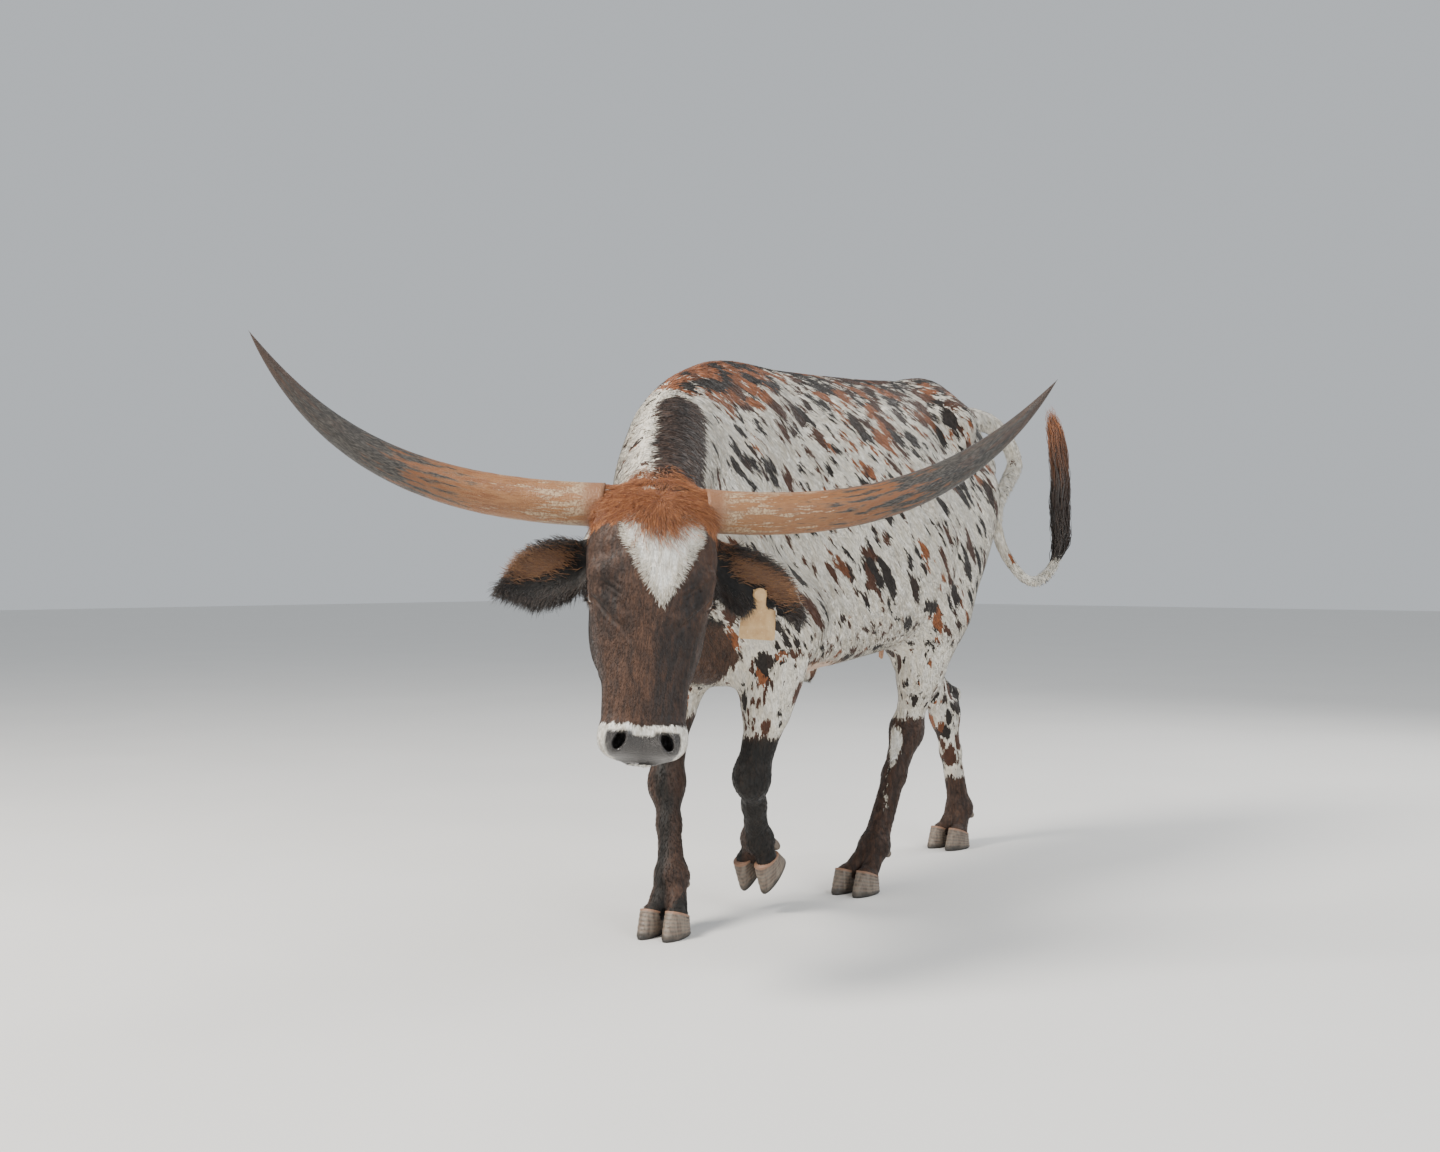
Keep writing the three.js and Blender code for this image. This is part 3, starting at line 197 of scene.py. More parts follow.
def round_cone(p, a, b, ra, rb, thin=1.0):
    """A rod round at its ends, from radius ra at a to rb at b, squeezed sideways by thin."""
    a = np.array(a, float)
    run = np.array(b, float) - a
    q = p - a
    t = np.clip(q @ run / (run @ run), 0, 1)
    rest = q - t[:, None] * run
    rest[:, 0] /= thin
    return np.linalg.norm(rest, axis=1) - (ra + (rb - ra) * t)


def ellipsoid(p, at, size):
    size = np.array(size, float)
    q = (p - np.array(at, float)) / size
    near = np.linalg.norm(q, axis=1)
    return near * (near - 1) / (np.linalg.norm(q / size, axis=1) + 1e-9)


def section(u, v, power):
    return (np.abs(u) ** power + np.abs(v) ** power + 1e-9) ** (1 / power)


trunk_at = stations_curve(TRUNK)


def trunk(p):
    x, y, z = p.T
    _, top, middle, bottom, wide = trunk_at(y)
    above = z > middle
    v = np.where(above, (z - middle) / (top - middle), (middle - z) / (middle - bottom))
    out = np.where(above, section(x / wide, v, 1.75), section(x / wide, v, 2.15)) - 1
    d = out * np.minimum(wide, (top - bottom) / 2) * 0.85
    past = np.maximum(TRUNK[0][0] - y, y - TRUNK[-1][0])
    return np.where(past > 0, np.maximum(d, 0) + past, d)


def neck(p):
    d = np.full(len(p), 1e4)
    for (a, high_a, wide_a), (b, high_b, wide_b) in zip(NECK, NECK[1:]):
        a = np.array(a, float)
        axis = np.array(b, float) - a
        side = unit((axis[1], -axis[0], 0))
        q = p - a
        t = np.clip(q @ axis / (axis @ axis), 0, 1)
        q = q - t[:, None] * axis
        across = q @ side
        rest = np.linalg.norm(q - across[:, None] * side, axis=1)
        wide = wide_a + (wide_b - wide_a) * t
        high = high_a + (high_b - high_a) * t
        d = blend(d, (np.hypot(across / wide, rest / high) - 1) * wide, 50)
    return d


def foreleg(p, leg):
    shoulder, elbow, knee, fetlock = (leg[k] for k in ("shoulder", "elbow", "knee", "fetlock"))
    cannon = between(knee, fetlock, 0.45)
    d = round_cone(p, shoulder, elbow, 85, 80)
    d = blend(d, round_cone(p, elbow, between(elbow, knee, 0.55), 80, 46), 50)
    d = blend(d, round_cone(p, between(elbow, knee, 0.35), knee, 56, 36), 40)
    d = blend(d, ellipsoid(p, knee, (43, 46, 56)), 20)
    d = blend(d, round_cone(p, knee, cannon, 36, 28), 20)
    d = blend(d, round_cone(p, cannon, fetlock, 28, 32), 20)
    return blend(d, ellipsoid(p, fetlock, (40, 38, 36)), 20)


def hindleg(p, leg):
    hip, stifle, hock, fetlock = (leg[k] for k in ("hip", "stifle", "hock", "fetlock"))
    buttock = (hip[0] * 0.75, hip[1] + 66, hip[2] - 80)
    gaskin = between(stifle, hock, 0.5)
    point = (hock[0], hock[1] + 45, hock[2] + 55)
    cannon = between(hock, fetlock, 0.4)
    d = round_cone(p, hip, stifle, 100, 85)
    d = blend(d, round_cone(p, buttock, gaskin, 68, 56, 0.8), 100)
    d = blend(d, round_cone(p, stifle, gaskin, 92, 56, 0.8), 60)
    d = blend(d, round_cone(p, gaskin, hock, 56, 40, 0.8), 40)
    d = blend(d, round_cone(p, gaskin, point, 20, 20), 30)
    d = blend(d, round_cone(p, hock, point, 40, 20), 20)
    d = blend(d, ellipsoid(p, hock, (38, 49, 57)), 20)
    d = blend(d, round_cone(p, hock, cannon, 40, 31), 20)
    d = blend(d, round_cone(p, cannon, fetlock, 31, 32), 20)
    return blend(d, ellipsoid(p, fetlock, (40, 38, 36)), 20)


def head_axes():
    facing = np.array((np.sin(HEAD_TURN), -np.cos(HEAD_TURN), 0))
    left = np.array((np.cos(HEAD_TURN), np.sin(HEAD_TURN), 0))
    up = np.array((0, 0, 1.0))
    v = up * np.cos(HEAD_TILT) - facing * np.sin(HEAD_TILT)
    w = facing * np.cos(HEAD_TILT) + up * np.sin(HEAD_TILT)
    u = left * np.cos(HEAD_LEAN) - v * np.sin(HEAD_LEAN)
    v = v * np.cos(HEAD_LEAN) + left * np.sin(HEAD_LEAN)
    return np.array((u, v, w))


HEAD = head_axes()


def to_head(p):
    return (p - POLL) @ HEAD.T


def on_head(q):
    return np.asarray(q, float) @ HEAD + POLL


def along_head(q):
    return unit(np.asarray(q, float) @ HEAD)


# Shift from the cow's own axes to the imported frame, found from where an eyeball lies there
eye_low, eye_high = (np.array(c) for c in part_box("eye_left"))
SHIFT = (eye_low + eye_high) / 2 - on_head(EYE) / 1000


def placed(p):
    return np.asarray(p, float) / 1000 + SHIFT


# How far off a form is taken to be where it isn't worked out
FAR = 150.0


def within(p, low, high, form, far=FAR):
    """A form worked out only for the points of a box, and far off elsewhere."""
    inside = np.all((p > np.array(low)) & (p < np.array(high)), axis=1)
    d = np.full(len(p), far)
    if inside.any():
        d[inside] = form(p[inside])
    return d


def dent(d, distance, depth, width):
    """Presses the surface in by depth near a line or point, or raises it where depth is negative."""
    return d + depth * np.exp(-((distance / width) ** 2))


def segment(p, a, b):
    a = np.array(a, float)
    run = np.array(b, float) - a
    t = np.clip((p - a) @ run / (run @ run), 0, 1)
    return np.linalg.norm(p - a - t[:, None] * run, axis=1)


def polyline(p, points):
    return np.min([segment(p, a, b) for a, b in zip(points, points[1:])], axis=0)


def catmull(points, count):
    """A smooth line through points, given as many points as count says."""
    pts = np.array(points, float)
    ends = np.vstack((2 * pts[0] - pts[1], pts, 2 * pts[-1] - pts[-2]))
    t = np.linspace(0, len(pts) - 1, count)
    i = np.minimum(t.astype(int), len(pts) - 2)
    f = (t - i)[:, None]
    a, b, c, d = (ends[i + k] for k in range(4))
    bent = (2 * a - 5 * b + 4 * c - d) * f**2 + (3 * b - a - 3 * c + d) * f**3
    return 0.5 * (2 * b + (c - a) * f + bent)


# Places on the head, as across, down and out from the poll: the left half of the mouth, the line of
# the upper lid's crease, and a nostril's middle
MOUTH_HALF = [(0, -502, -28), (54, -480, -32), (78, -425, -40), (80, -376, -50)]
LID_CREASE = [(106, -214, 36), (90, -237, 51), (71, -259, 58), (55, -273, 65), (38, -297, 69)]
NOSTRIL = np.array((43.0, -478.0, 42.0))
NOSTRIL_TURN = 0.5


def both_sides(q):
    """Points with those of the right half turned over onto the left."""
    return np.stack((np.abs(q[:, 0]), q[:, 1], q[:, 2]), 1)


def skull(q):
    """The head without its ears and lids, with its brows, cheeks, folds and mouth."""
    _, wide, front, back = stations_curve(SKULL)(-q[:, 1])
    u, v, w = q.T
    middle = (front + back) / 2 + 20
    above = w > middle
    deep = np.where(above, (w - middle) / (front - middle), (middle - w) / (middle - back))
    out = np.where(above, section(u / wide, deep, 2.6), section(u / wide, deep, 2.0)) - 1
    d = out * np.minimum(wide, (front - back) / 2) * 0.9
    past = np.maximum(SKULL[0][0] + v, -v - SKULL[-1][0])
    d = np.where(past > 0, np.maximum(d, 0) + past, d)
    side = both_sides(q)
    d = blend(d, ellipsoid(side, (88, -172, 42), (29, 24, 28)), 22)
    d = blend(d, ellipsoid(side, (61, -262, -78), (46, 84, 56)), 30)
    d = blend(d, ellipsoid(side, (44, -474, 26), (35, 34, 34)), 22)
    d = blend(d, ellipsoid(side, (0, -468, -56), (50, 42, 26)), 20)
    # hollows before and over the eye, the edge of the cheek, and the groove of the nose
    d = dent(d, segment(side, (70, -240, 60), (56, -330, 66)), 5, 20)
    d = dent(d, segment(side, (96, -250, 8), (84, -350, -4)), -3, 12)
    d = dent(d, segment(side, (60, -120, 84), (84, -140, 60)), 4, 16)
    d = dent(d, segment(side, (104, -300, -30), (84, -390, -40)), 4, 18)
    # folds of skin over the brow
    for k in range(3):
        rise = 14 * k
        fold = [(58, -214 + rise, 74), (82, -196 + rise, 66), (104, -186 + rise, 40)]
        d = dent(d, polyline(side, fold), 2.4, 3.6)
    # the lid's long crease and the bulge over it, and slanting folds below the ear
    bulge = [(a, b + 16, c + 4) for a, b, c in LID_CREASE[:4]]
    d = dent(d, polyline(side, bulge), -6, 13)
    d = dent(d, polyline(side, LID_CREASE), 5.5, 4.5)
    for k in range(3):
        high, low = (114 - 9 * k, -140 - 5 * k, 50), (74 - 6 * k, -224 + 2 * k, 68)
        d = dent(d, segment(side, high, low), 2.6, 3.6)
    d = dent(d, segment(side, (48, -250, 70), (30, -400, 66)), 3.5, 12)
    d = dent(d, polyline(side, MOUTH_HALF), 6, 4)
    d = dent(d, segment(side, (0, -478, 62), (0, -520, 10)), 2.5, 5)
    return d


def eye_axes():
    """The left eye's ways towards its inner corner, up its opening and out of it."""
    out = unit(EYE_OUT)
    corner = unit(EYE_CORNER - out * (EYE_CORNER @ out))
    up = np.cross(out, corner)
    return corner, up if up[1] > 0 else -up, out


def lids(q, d):
    """The lids: a rim of skin over the ball, heavier above, with the slit cut through it."""
    side = both_sides(q) - EYE
    away = np.linalg.norm(side, axis=1)
    corner, up, out = (side @ axis for axis in eye_axes())
    lid = away - (EYE_RADIUS + 3.5 + 2.0 * smooth(-6, 12, up))
    d = blend(d, lid, 9)
    slit = np.hypot(corner / 19, (up + 2 + 0.012 * corner**2) / 8.5)
    opening = np.maximum((slit - 1) * 7, -out + 4)
    d = carve(d, opening, 3)
    crease = np.abs(np.hypot(corner / 25, (up + 1) / 17) - 1) * 18
    return np.where((out > 0) & (up > 0), dent(d, crease, 2.2, 2.6), d)


def nostrils(q, d):
    """The nostrils' openings, each with a raised wing round it."""
    side = both_sides(q) - NOSTRIL
    a = side[:, 0] * np.cos(NOSTRIL_TURN) + side[:, 1] * np.sin(NOSTRIL_TURN)
    b = -side[:, 0] * np.sin(NOSTRIL_TURN) + side[:, 1] * np.cos(NOSTRIL_TURN)
    hole = np.linalg.norm(np.stack((a / 10, b / 16, side[:, 2] / 26), 1), axis=1)
    d = dent(d, np.abs(hole - 1.45) * 12, -2.5, 4)
    return carve(d, (hole - 1) * 10, 4)


def ear(q, spec):
    """An ear: a plate rolled about its length, closed round at its rims and tip."""
    root = np.array(spec["root"], float)
    long = np.linalg.norm(spec["run"])
    run = unit(spec["run"])
    face = unit(np.array((0, 0, 1.0)) - run * run[2])
    across = np.cross(run, face)
    down = np.array((0, 0, -1.0)) @ HEAD.T
    t = np.clip((q - root) @ run / long, 0, 1)
    s = q - root - run * (t * long)[:, None] - down * (spec["droop"] * t * t)[:, None]
    past = s @ run
    half = EAR_WIDE * np.sin(np.pi * (t * 0.8 + 0.17)) ** 0.8
    curl = 1.5 + (0.55 - 1.5) * t
    a, b = s @ across, s @ face
    steps = 13
    bend = np.linspace(-1, 1, steps)[:, None] * curl
    side, deep = half * np.sin(bend) / np.maximum(curl, 0.8), EAR_CUP * (1 - np.cos(bend))
    near = np.full(len(q), np.inf)
    for k in range(steps - 1):
        du, dv = side[k + 1] - side[k], deep[k + 1] - deep[k]
        along = np.clip(((a - side[k]) * du + (b - deep[k]) * dv) / (du * du + dv * dv + 1e-9), 0, 1)
        off = np.hypot(a - side[k] - along * du, b - deep[k] - along * dv)
        near = np.minimum(near, off + 0.5 * np.abs((k + along) / (steps - 1) - 0.5))
    return np.hypot(near, past) - EAR_THICK / 2


def tag_frame():
    """The ear tag's place on the left ear, and its axes across, up and out."""
    spec = EARS["left"]
    at = on_head(np.array(spec["root"]) + 0.6 * np.array(spec["run"])) - np.array((0, 0, 10.0))
    facing = unit(HEAD[2] * (1, 1, 0))
    return at, np.array((np.cross((0, 0, 1.0), facing), (0, 0, 1.0), facing))


TAG_AT, TAG_AXES = tag_frame()


def at_tag(q, grow):
    """How far points lie outside the room that the tag's plate takes before the ear."""
    a, b, c = ((on_head(q) - TAG_AT) @ TAG_AXES.T).T
    plate = np.maximum(np.abs(a) - 29 - grow, np.abs(b + 57) - 31 - grow)
    neck_part = np.maximum(np.abs(a) - 11 - grow, np.abs(b + 10) - 22 - grow)
    return np.maximum(np.minimum(plate, neck_part), 3.2 - grow - c)


def ears(q):
    d = np.full(len(q), FAR)
    for spec in EARS.values():
        root, run = np.array(spec["root"]), np.array(spec["run"])
        low, high = np.minimum(root, root + run) - 75, np.maximum(root, root + run) + 75
        d = np.minimum(d, within(q, low, high, lambda at: ear(at, spec)))
    near = d < 60
    d[near] = carve(d[near], at_tag(q[near], 1.0), 4)
    return d


def head_form(p):
    q = to_head(p)
    d = skull(q)
    d = lids(q, d)
    d = nostrils(q, d)
    for name, side in (("left", 1), ("right", -1)):
        start = np.array(HORNS[name][0], float) * (side, 1, 1)
        toward = np.array(HORNS[name][1], float) * (side, 1, 1)
        d = blend(d, round_cone(q, start * (0.5, 1, 1), start + unit(toward - start) * 34, 46, 41.5), 22)
    return blend(d, ears(q), 16)


def claw_frame(leg, side):
    """A claw's axes as rows (across, toe, up) and its middle on the sole."""
    turn, lift = np.radians((leg["heading"] + 180, -leg["lift"]))
    spin = np.array(((np.cos(turn), -np.sin(turn), 0), (np.sin(turn), np.cos(turn), 0), (0, 0, 1)))
    tip = np.array(((1, 0, 0), (0, np.cos(lift), -np.sin(lift)), (0, np.sin(lift), np.cos(lift))))
    place = np.array(leg["foot"], float)
    pivot = np.array((0, CLAW["front"], 0.0))
    shift = np.array((side * (CLAW["wide"] + CLAW["cleft"]) / 2, -CLAW["front"], 0.0))
    return (spin @ tip).T, place + spin @ (pivot + tip @ shift)


def toes(p, leg):
    """The flesh from the fetlock down into both claws."""
    d = np.full(len(p), FAR)
    for side in (1, -1):
        axes, middle = claw_frame(leg, side)
        foot = middle + np.array((0, -6, 40.0)) @ axes
        start = np.array(leg["fetlock"], float) + axes[0] * side * 9
        coronet = middle + np.array((0, 2, 46.0)) @ axes
        d = blend(d, round_cone(p, start, foot, 25, 23), 4)
        d = blend(d, round_cone(p, foot, coronet, 25, 24), 6)
    return d


def legs(p):
    d = np.full(len(p), FAR)
    for form, group in ((foreleg, FORELEGS), (hindleg, HINDLEGS)):
        for leg in group.values():
            corners = np.array([value for value in leg.values() if isinstance(value, tuple)], float)
            low, high = corners.min(0) - 190, corners.max(0) + 190
            d = blend(d, within(p, low, high, lambda at: form(at, leg)), 40)
            feet = np.array((leg["fetlock"], leg["foot"]), float)
            low, high = feet.min(0) - 110, feet.max(0) + 110
            d = blend(d, within(p, low, high, lambda at: toes(at, leg)), 14)
    return d


def barrel(p):
    """Trunk, shoulders, hips, dewlap and neck, with the creases and hollows of their skin."""
    side = both_sides(p)
    d = trunk(p)
    d = blend(d, round_cone(side, (50, 80, 1165), (140, -150, 860), 50, 83), 60)
    d = blend(d, round_cone(side, (30, 800, 1236), (142, 776, 1190), 44, 42), 90)
    d = blend(d, round_cone(side, (20, 990, 1186), (74, 1014, 1090), 32, 34), 60)
    d = blend(d, round_cone(p, (0, 330, 560), (0, 250, 572), 26, 14, 0.5), 40)
    d = blend(d, neck(p), 90)
    d = blend(d, round_cone(p, (285, -475, 920), (120, -270, 1050), 55, 75), 50)
    d = blend(d, round_cone(p, (205, -420, 730), (20, -240, 640), 34, 44, 0.7), 60)
    # the shoulder blade's edge, the fold behind the upper arm, the hollow of the flank and the ribs
    upper_arm = [(190, 170, 1010), (215, 130, 860), (215, 110, 720), (190, 110, 630)]
    d = dent(d, polyline(side, upper_arm), 9, 26)
    d = dent(d, polyline(side, [(70, 40, 1215), (150, -60, 1060), (190, -150, 900)]), -5, 26)
    d = dent(d, segment(side, (200, 690, 1130), (226, 640, 1050)), 12, 60)
    d = dent(d, polyline(side, [(235, 600, 840), (215, 690, 700), (180, 730, 610)]), 8, 30)
    for k in range(7):
        top = 250 + 62 * k
        rib = [(236, top, 1060), (262, top + 24, 900), (240, top + 8, 700)]
        d = dent(d, polyline(side, rib), -2.4, 16)
    for k in range(3):
        turn = 36 * k
        crease = [(150 + turn, -270 - turn, 960 - turn), (190 + turn * 0.6, -300 - turn, 820 - turn)]
        d = dent(d, polyline(p, crease), 5, 13)
    return d


TAIL_POINTS = 34
tail_line = catmull([at for at, _ in TAIL], TAIL_POINTS)
tail_share = np.linspace(0, len(TAIL) - 1, TAIL_POINTS)
tail_radius = np.interp(tail_share, np.arange(len(TAIL)), [r for _, r in TAIL])


def tail(p):
    d = np.full(len(p), FAR)
    for a, b, ra, rb in zip(tail_line, tail_line[1:], tail_radius, tail_radius[1:]):
        d = np.minimum(d, round_cone(p, a, b, ra, rb))
    return d


def udder(p):
    d = ellipsoid(p, *UDDER)
    for x, y in TEATS:
        d = blend(d, round_cone(p, (x, y, 640), (x, y - 3, 574), 15.5, 9.5), 12)
    return d


def flesh(p):
    """The whole animal's skin, before the depth of the coat is taken off."""
    d = within(p, (-420, -640, 380), (480, 1200, 1420), barrel, 200.0)
    d = blend(d, within(p, (-320, -340, -20), (330, 1340, 1120), legs), 60)
    d = blend(d, within(p, (-130, 560, 480), (130, 960, 840), udder), 30)
    d = blend(d, within(p, (-80, 960, 730), (210, 1420, 1320), tail), 40)
    head_low, head_high = POLL - 560, POLL + (420, 420, 160)
    return blend(d, within(p, head_low, head_high, head_form), 30)


def coat_depth(p):
    """How deep the coat lies on the skin."""
    q = to_head(p)
    face = smooth(-60, -130, q[:, 1]) * smooth(-160, -120, q[:, 2])
    poll = smooth(-130, -60, q[:, 1]) * smooth(-90, -40, q[:, 2]) * smooth(60, 20, q[:, 1])
    feet = smooth(260, 120, p[:, 2])
    depth = COAT * (1 - 0.6 * face * (1 - poll)) * (1 - 0.5 * feet) + 4 * poll
    return depth * smooth(2, 14, ears(q))


def skin_form(p):
    return flesh(p) + coat_depth(p)


def spread(low, high, parts):
    """Grid lines from low to high, closer where parts (low, high, step) say, else by the last step."""
    lines = [low]
    while lines[-1] < high:
        at = lines[-1]
        step = next((s for a, b, s in parts if a <= at < b), parts[-1][2])
        lines.append(at + step)
    while (len(lines) - 1) % 4:
        lines.append(lines[-1] + parts[-1][2])
    return np.array(lines)


def surface(form, xs, ys, zs):
    """Quads laid where the form is nought, on a grid of lines, worked out only near it."""
    coarse = [axis[::4] for axis in (xs, ys, zs)]
    grid = np.stack(np.meshgrid(*coarse, indexing="ij"), -1).reshape(-1, 3)
    value = np.concatenate([form(part) for part in np.array_split(grid, 8)])
    value = value.reshape([len(axis) for axis in coarse])
    spans = np.meshgrid(*[np.diff(axis) for axis in coarse], indexing="ij")
    reach = 0.75 * np.sqrt(sum(s**2 for s in spans))
    n = np.array([len(axis) for axis in coarse])
    nearest = np.full(n - 1, np.inf)
    for i in (0, 1):
        for j in (0, 1):
            for k in (0, 1):
                corner = value[i : n[0] - 1 + i, j : n[1] - 1 + j, k : n[2] - 1 + k]
                nearest = np.minimum(nearest, np.abs(corner))
    blocks = nearest < reach
    near = np.zeros((len(xs), len(ys), len(zs)), bool)
    filled = np.repeat(np.repeat(np.repeat(blocks, 4, 0), 4, 1), 4, 2)
    for i in (0, 1):
        for j in (0, 1):
            for k in (0, 1):
                near[i : i + filled.shape[0], j : j + filled.shape[1], k : k + filled.shape[2]] |= filled
    sign = np.repeat(np.repeat(np.repeat(value, 4, 0), 4, 1), 4, 2)[: len(xs), : len(ys), : len(zs)]
    g = sign.astype(np.float32)
    index = np.argwhere(near)
    points = np.stack((xs[index[:, 0]], ys[index[:, 1]], zs[index[:, 2]]), 1)
    g[near] = np.concatenate([form(part) for part in np.array_split(points, len(points) // 100000 + 1)])
    return net(g, xs, ys, zs)


def net(g, xs, ys, zs):
    """One point in each cell that the surface crosses, and a quad across each crossed grid edge."""
    n = np.array(g.shape)
    inside = g < 0
    count = np.zeros(n - 1, np.int8)
    corners = [np.array((i, j, k)) for i in (0, 1) for j in (0, 1) for k in (0, 1)]
    for i, j, k in corners:
        count += inside[i : n[0] - 1 + i, j : n[1] - 1 + j, k : n[2] - 1 + k]
    cells = np.argwhere((count > 0) & (count < 8))
    ids = np.full(n - 1, -1, np.int32)
    ids[tuple(cells.T)] = np.arange(len(cells))
    total = np.zeros((len(cells), 3))
    crossings = np.zeros(len(cells))
    for a in corners:
        for k in range(3):
            if a[k]:
                continue
            b = a.copy()
            b[k] = 1
            va, vb = g[tuple((cells + a).T)], g[tuple((cells + b).T)]
            m = (va < 0) != (vb < 0)
            t = va[m] / (va[m] - vb[m])
            total[m] += a + np.outer(t, b - a)
            crossings[m] += 1
    share = total / crossings[:, None]
    verts = np.empty((len(cells), 3))
    for k, axis in enumerate((xs, ys, zs)):
        low = axis[cells[:, k]]
        verts[:, k] = low + share[:, k] * (axis[cells[:, k] + 1] - low)
    quads = []
    for k in range(3):
        a = [slice(1, n[i] - 1) for i in range(3)]
        b = list(a)
        a[k], b[k] = slice(0, n[k] - 1), slice(1, n[k])
        sa, sb = inside[tuple(a)], inside[tuple(b)]
        edges = np.argwhere(sa != sb)
        base = edges + np.array([0 if i == k else 1 for i in range(3)])
        first, second = np.zeros(3, int), np.zeros(3, int)
        first[(k + 1) % 3] = -1
        second[(k + 2) % 3] = -1
        around = (base, base + first, base + first + second, base + second)
        quad = np.stack([ids[tuple(at.T)] for at in around], 1)
        turned = ~sa[tuple(edges.T)]
        quad[turned] = quad[turned][:, ::-1]
        quads.append(quad)
    return verts, np.concatenate(quads)


def slope_of(form, p, step=1.0):
    """The way out of a form at points, of length one."""
    grad = np.empty_like(p)
    for k in range(3):
        e = np.zeros(3)
        e[k] = step
        grad[:, k] = form(p + e) - form(p - e)
    return unit(grad)


def relax(verts, quads, rounds):
    """Evens out the net's points along the surface."""
    edges = np.concatenate([quads[:, (i, (i + 1) % 4)] for i in range(4)])
    for _ in range(rounds):
        total = np.zeros_like(verts)
        for k in range(3):
            total[:, k] = np.bincount(edges[:, 0], verts[edges[:, 1], k], len(verts))
        degree = np.bincount(edges[:, 0], minlength=len(verts))
        verts = verts + 0.5 * (total / np.maximum(degree, 1)[:, None] - verts)
    return verts


# Where a point of the skin lies on its unwrap, one strip for each length of the body

SPINE = [(0, 1120, 1060), (0, 700, 950), (0, 0, 930), (115, -290, 915), (300, -540, 880)]
STRIPS = {
    "body": (SPINE, (0.01, 0.56, 0.98, 0.42)),
    "head": (on_head(((0, 90, -30), (0, -560, -10))), (0.01, 0.29, 0.44, 0.24)),
    "ear_right": (on_head(((-60, -112, -62), (-290, -184, -20))), (0.48, 0.29, 0.2, 0.24)),
    "ear_left": (on_head(((60, -94, -60), (290, -204, -58))), (0.71, 0.29, 0.2, 0.24)),
    "foreleg_right": ([(-150, -40, 640), (-82, -88, 318), (-45, -130, 0)], (0.01, 0.01, 0.17, 0.25)),
    "foreleg_left": ([(150, -40, 640), (98, 5, 338), (40, 130, 0)], (0.2, 0.01, 0.17, 0.25)),
    "hindleg_right": ([(-140, 900, 660), (-128, 1148, 385), (-100, 1160, 0)], (0.39, 0.01, 0.17, 0.25)),
    "hindleg_left": ([(150, 700, 660), (66, 665, 390), (64, 480, 0)], (0.58, 0.01, 0.17, 0.25)),
    "tail": (tail_line[2:], (0.77, 0.01, 0.21, 0.1)),
    "udder": ([(0, 640, 640), (0, 880, 640)], (0.77, 0.14, 0.21, 0.12)),
}
# How stout each length is, so that a point goes to the strip of the part it belongs to
STOUT = {"body": 1.0, "head": 0.7, "ear_right": 0.45, "ear_left": 0.45, "tail": 0.25, "udder": 0.6}
LEG_STOUT = 0.35


def unwrap(p):
    """Each point's place on the unwrap: along the nearest strip, and round it."""
    best = np.full(len(p), np.inf)
    uv = np.zeros((len(p), 2))
    for name, (points, (u0, v0, wide, high)) in STRIPS.items():
        pts = np.array(points, float)
        run = np.diff(pts, axis=0)
        long = np.linalg.norm(run, axis=1)
        start = np.concatenate(([0], np.cumsum(long)))
        away = np.full(len(p), np.inf)
        along = np.zeros(len(p))
        turn = np.zeros(len(p))
        for i in range(len(run)):
            axis = run[i] / long[i]
            t = np.clip((p - pts[i]) @ axis, 0, long[i])
            rest = p - pts[i] - t[:, None] * axis
            far = np.linalg.norm(rest, axis=1)
            first = unit(np.cross(axis, (0.31, 0.2, 0.93)))
            second = np.cross(axis, first)
            m = far < away
            away[m] = far[m]
            along[m] = (start[i] + t[m]) / start[-1]
            turn[m] = np.arctan2(rest[m] @ second, rest[m] @ first)
        weighed = away / STOUT.get(name, LEG_STOUT)
        m = weighed < best
        best[m] = weighed[m]
        uv[m, 0] = u0 + along[m] * wide
        uv[m, 1] = v0 + (turn[m] / (2 * np.pi) + 0.5) * high
    return uv


# Pieces


def make_piece(name, verts, faces, material, nodes=(), fields=None):
    """A mesh from points in millimetres and rows of faces, riding on the cow's one body."""
    mesh = bpy.data.meshes.new(name)
    at = placed(verts).astype(np.float32)
    faces = np.ascontiguousarray(faces, np.int32)
    count, corners = faces.shape
    mesh.vertices.add(len(at))
    mesh.vertices.foreach_set("co", at.ravel())
    mesh.loops.add(count * corners)
    mesh.loops.foreach_set("vertex_index", faces.ravel())
    mesh.polygons.add(count)
    mesh.polygons.foreach_set("loop_start", np.arange(0, count * corners, corners, dtype=np.int32))
    mesh.update(calc_edges=True)
    mesh.polygons.foreach_set("use_smooth", np.ones(count, bool))
    for key, value in (fields or {}).items():
        value = np.asarray(value, np.float32)
        if key == "OFBake":
            layer = mesh.uv_layers.new(name="OFBake")
            layer.data.foreach_set("uv", value[faces.ravel()].ravel())
            continue
        kind = "FLOAT_VECTOR" if value.ndim == 2 else "FLOAT"
        field = mesh.attributes.new(key, kind, "POINT")
        field.data.foreach_set("vector" if value.ndim == 2 else "value", value.ravel())
    mesh.materials.append(material)
    obj = bpy.data.objects.new(name, mesh)
    bpy.context.scene.collection.objects.link(obj)
    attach(obj, "root")
    if nodes:
        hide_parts(*nodes)
    return obj


def loft_faces(rings, sides):
    """Triangles of a closed tube of rings of points in rows, with a point after them for each end."""
    i, k = np.meshgrid(np.arange(rings - 1), np.arange(sides), indexing="ij")
    a = i * sides + k
    b = i * sides + (k + 1) % sides
    c, d = b + sides, a + sides
    near = np.stack((a, b, c), -1).reshape(-1, 3)
    far = np.stack((a, c, d), -1).reshape(-1, 3)
    k = np.arange(sides)
    after = (k + 1) % sides
    last = (rings - 1) * sides
    start = np.full(sides, rings * sides)
    first_cap = np.stack((start, after, k), 1)
    last_cap = np.stack((start + 1, last + k, last + after), 1)
    return np.concatenate((near, far, first_cap, last_cap))


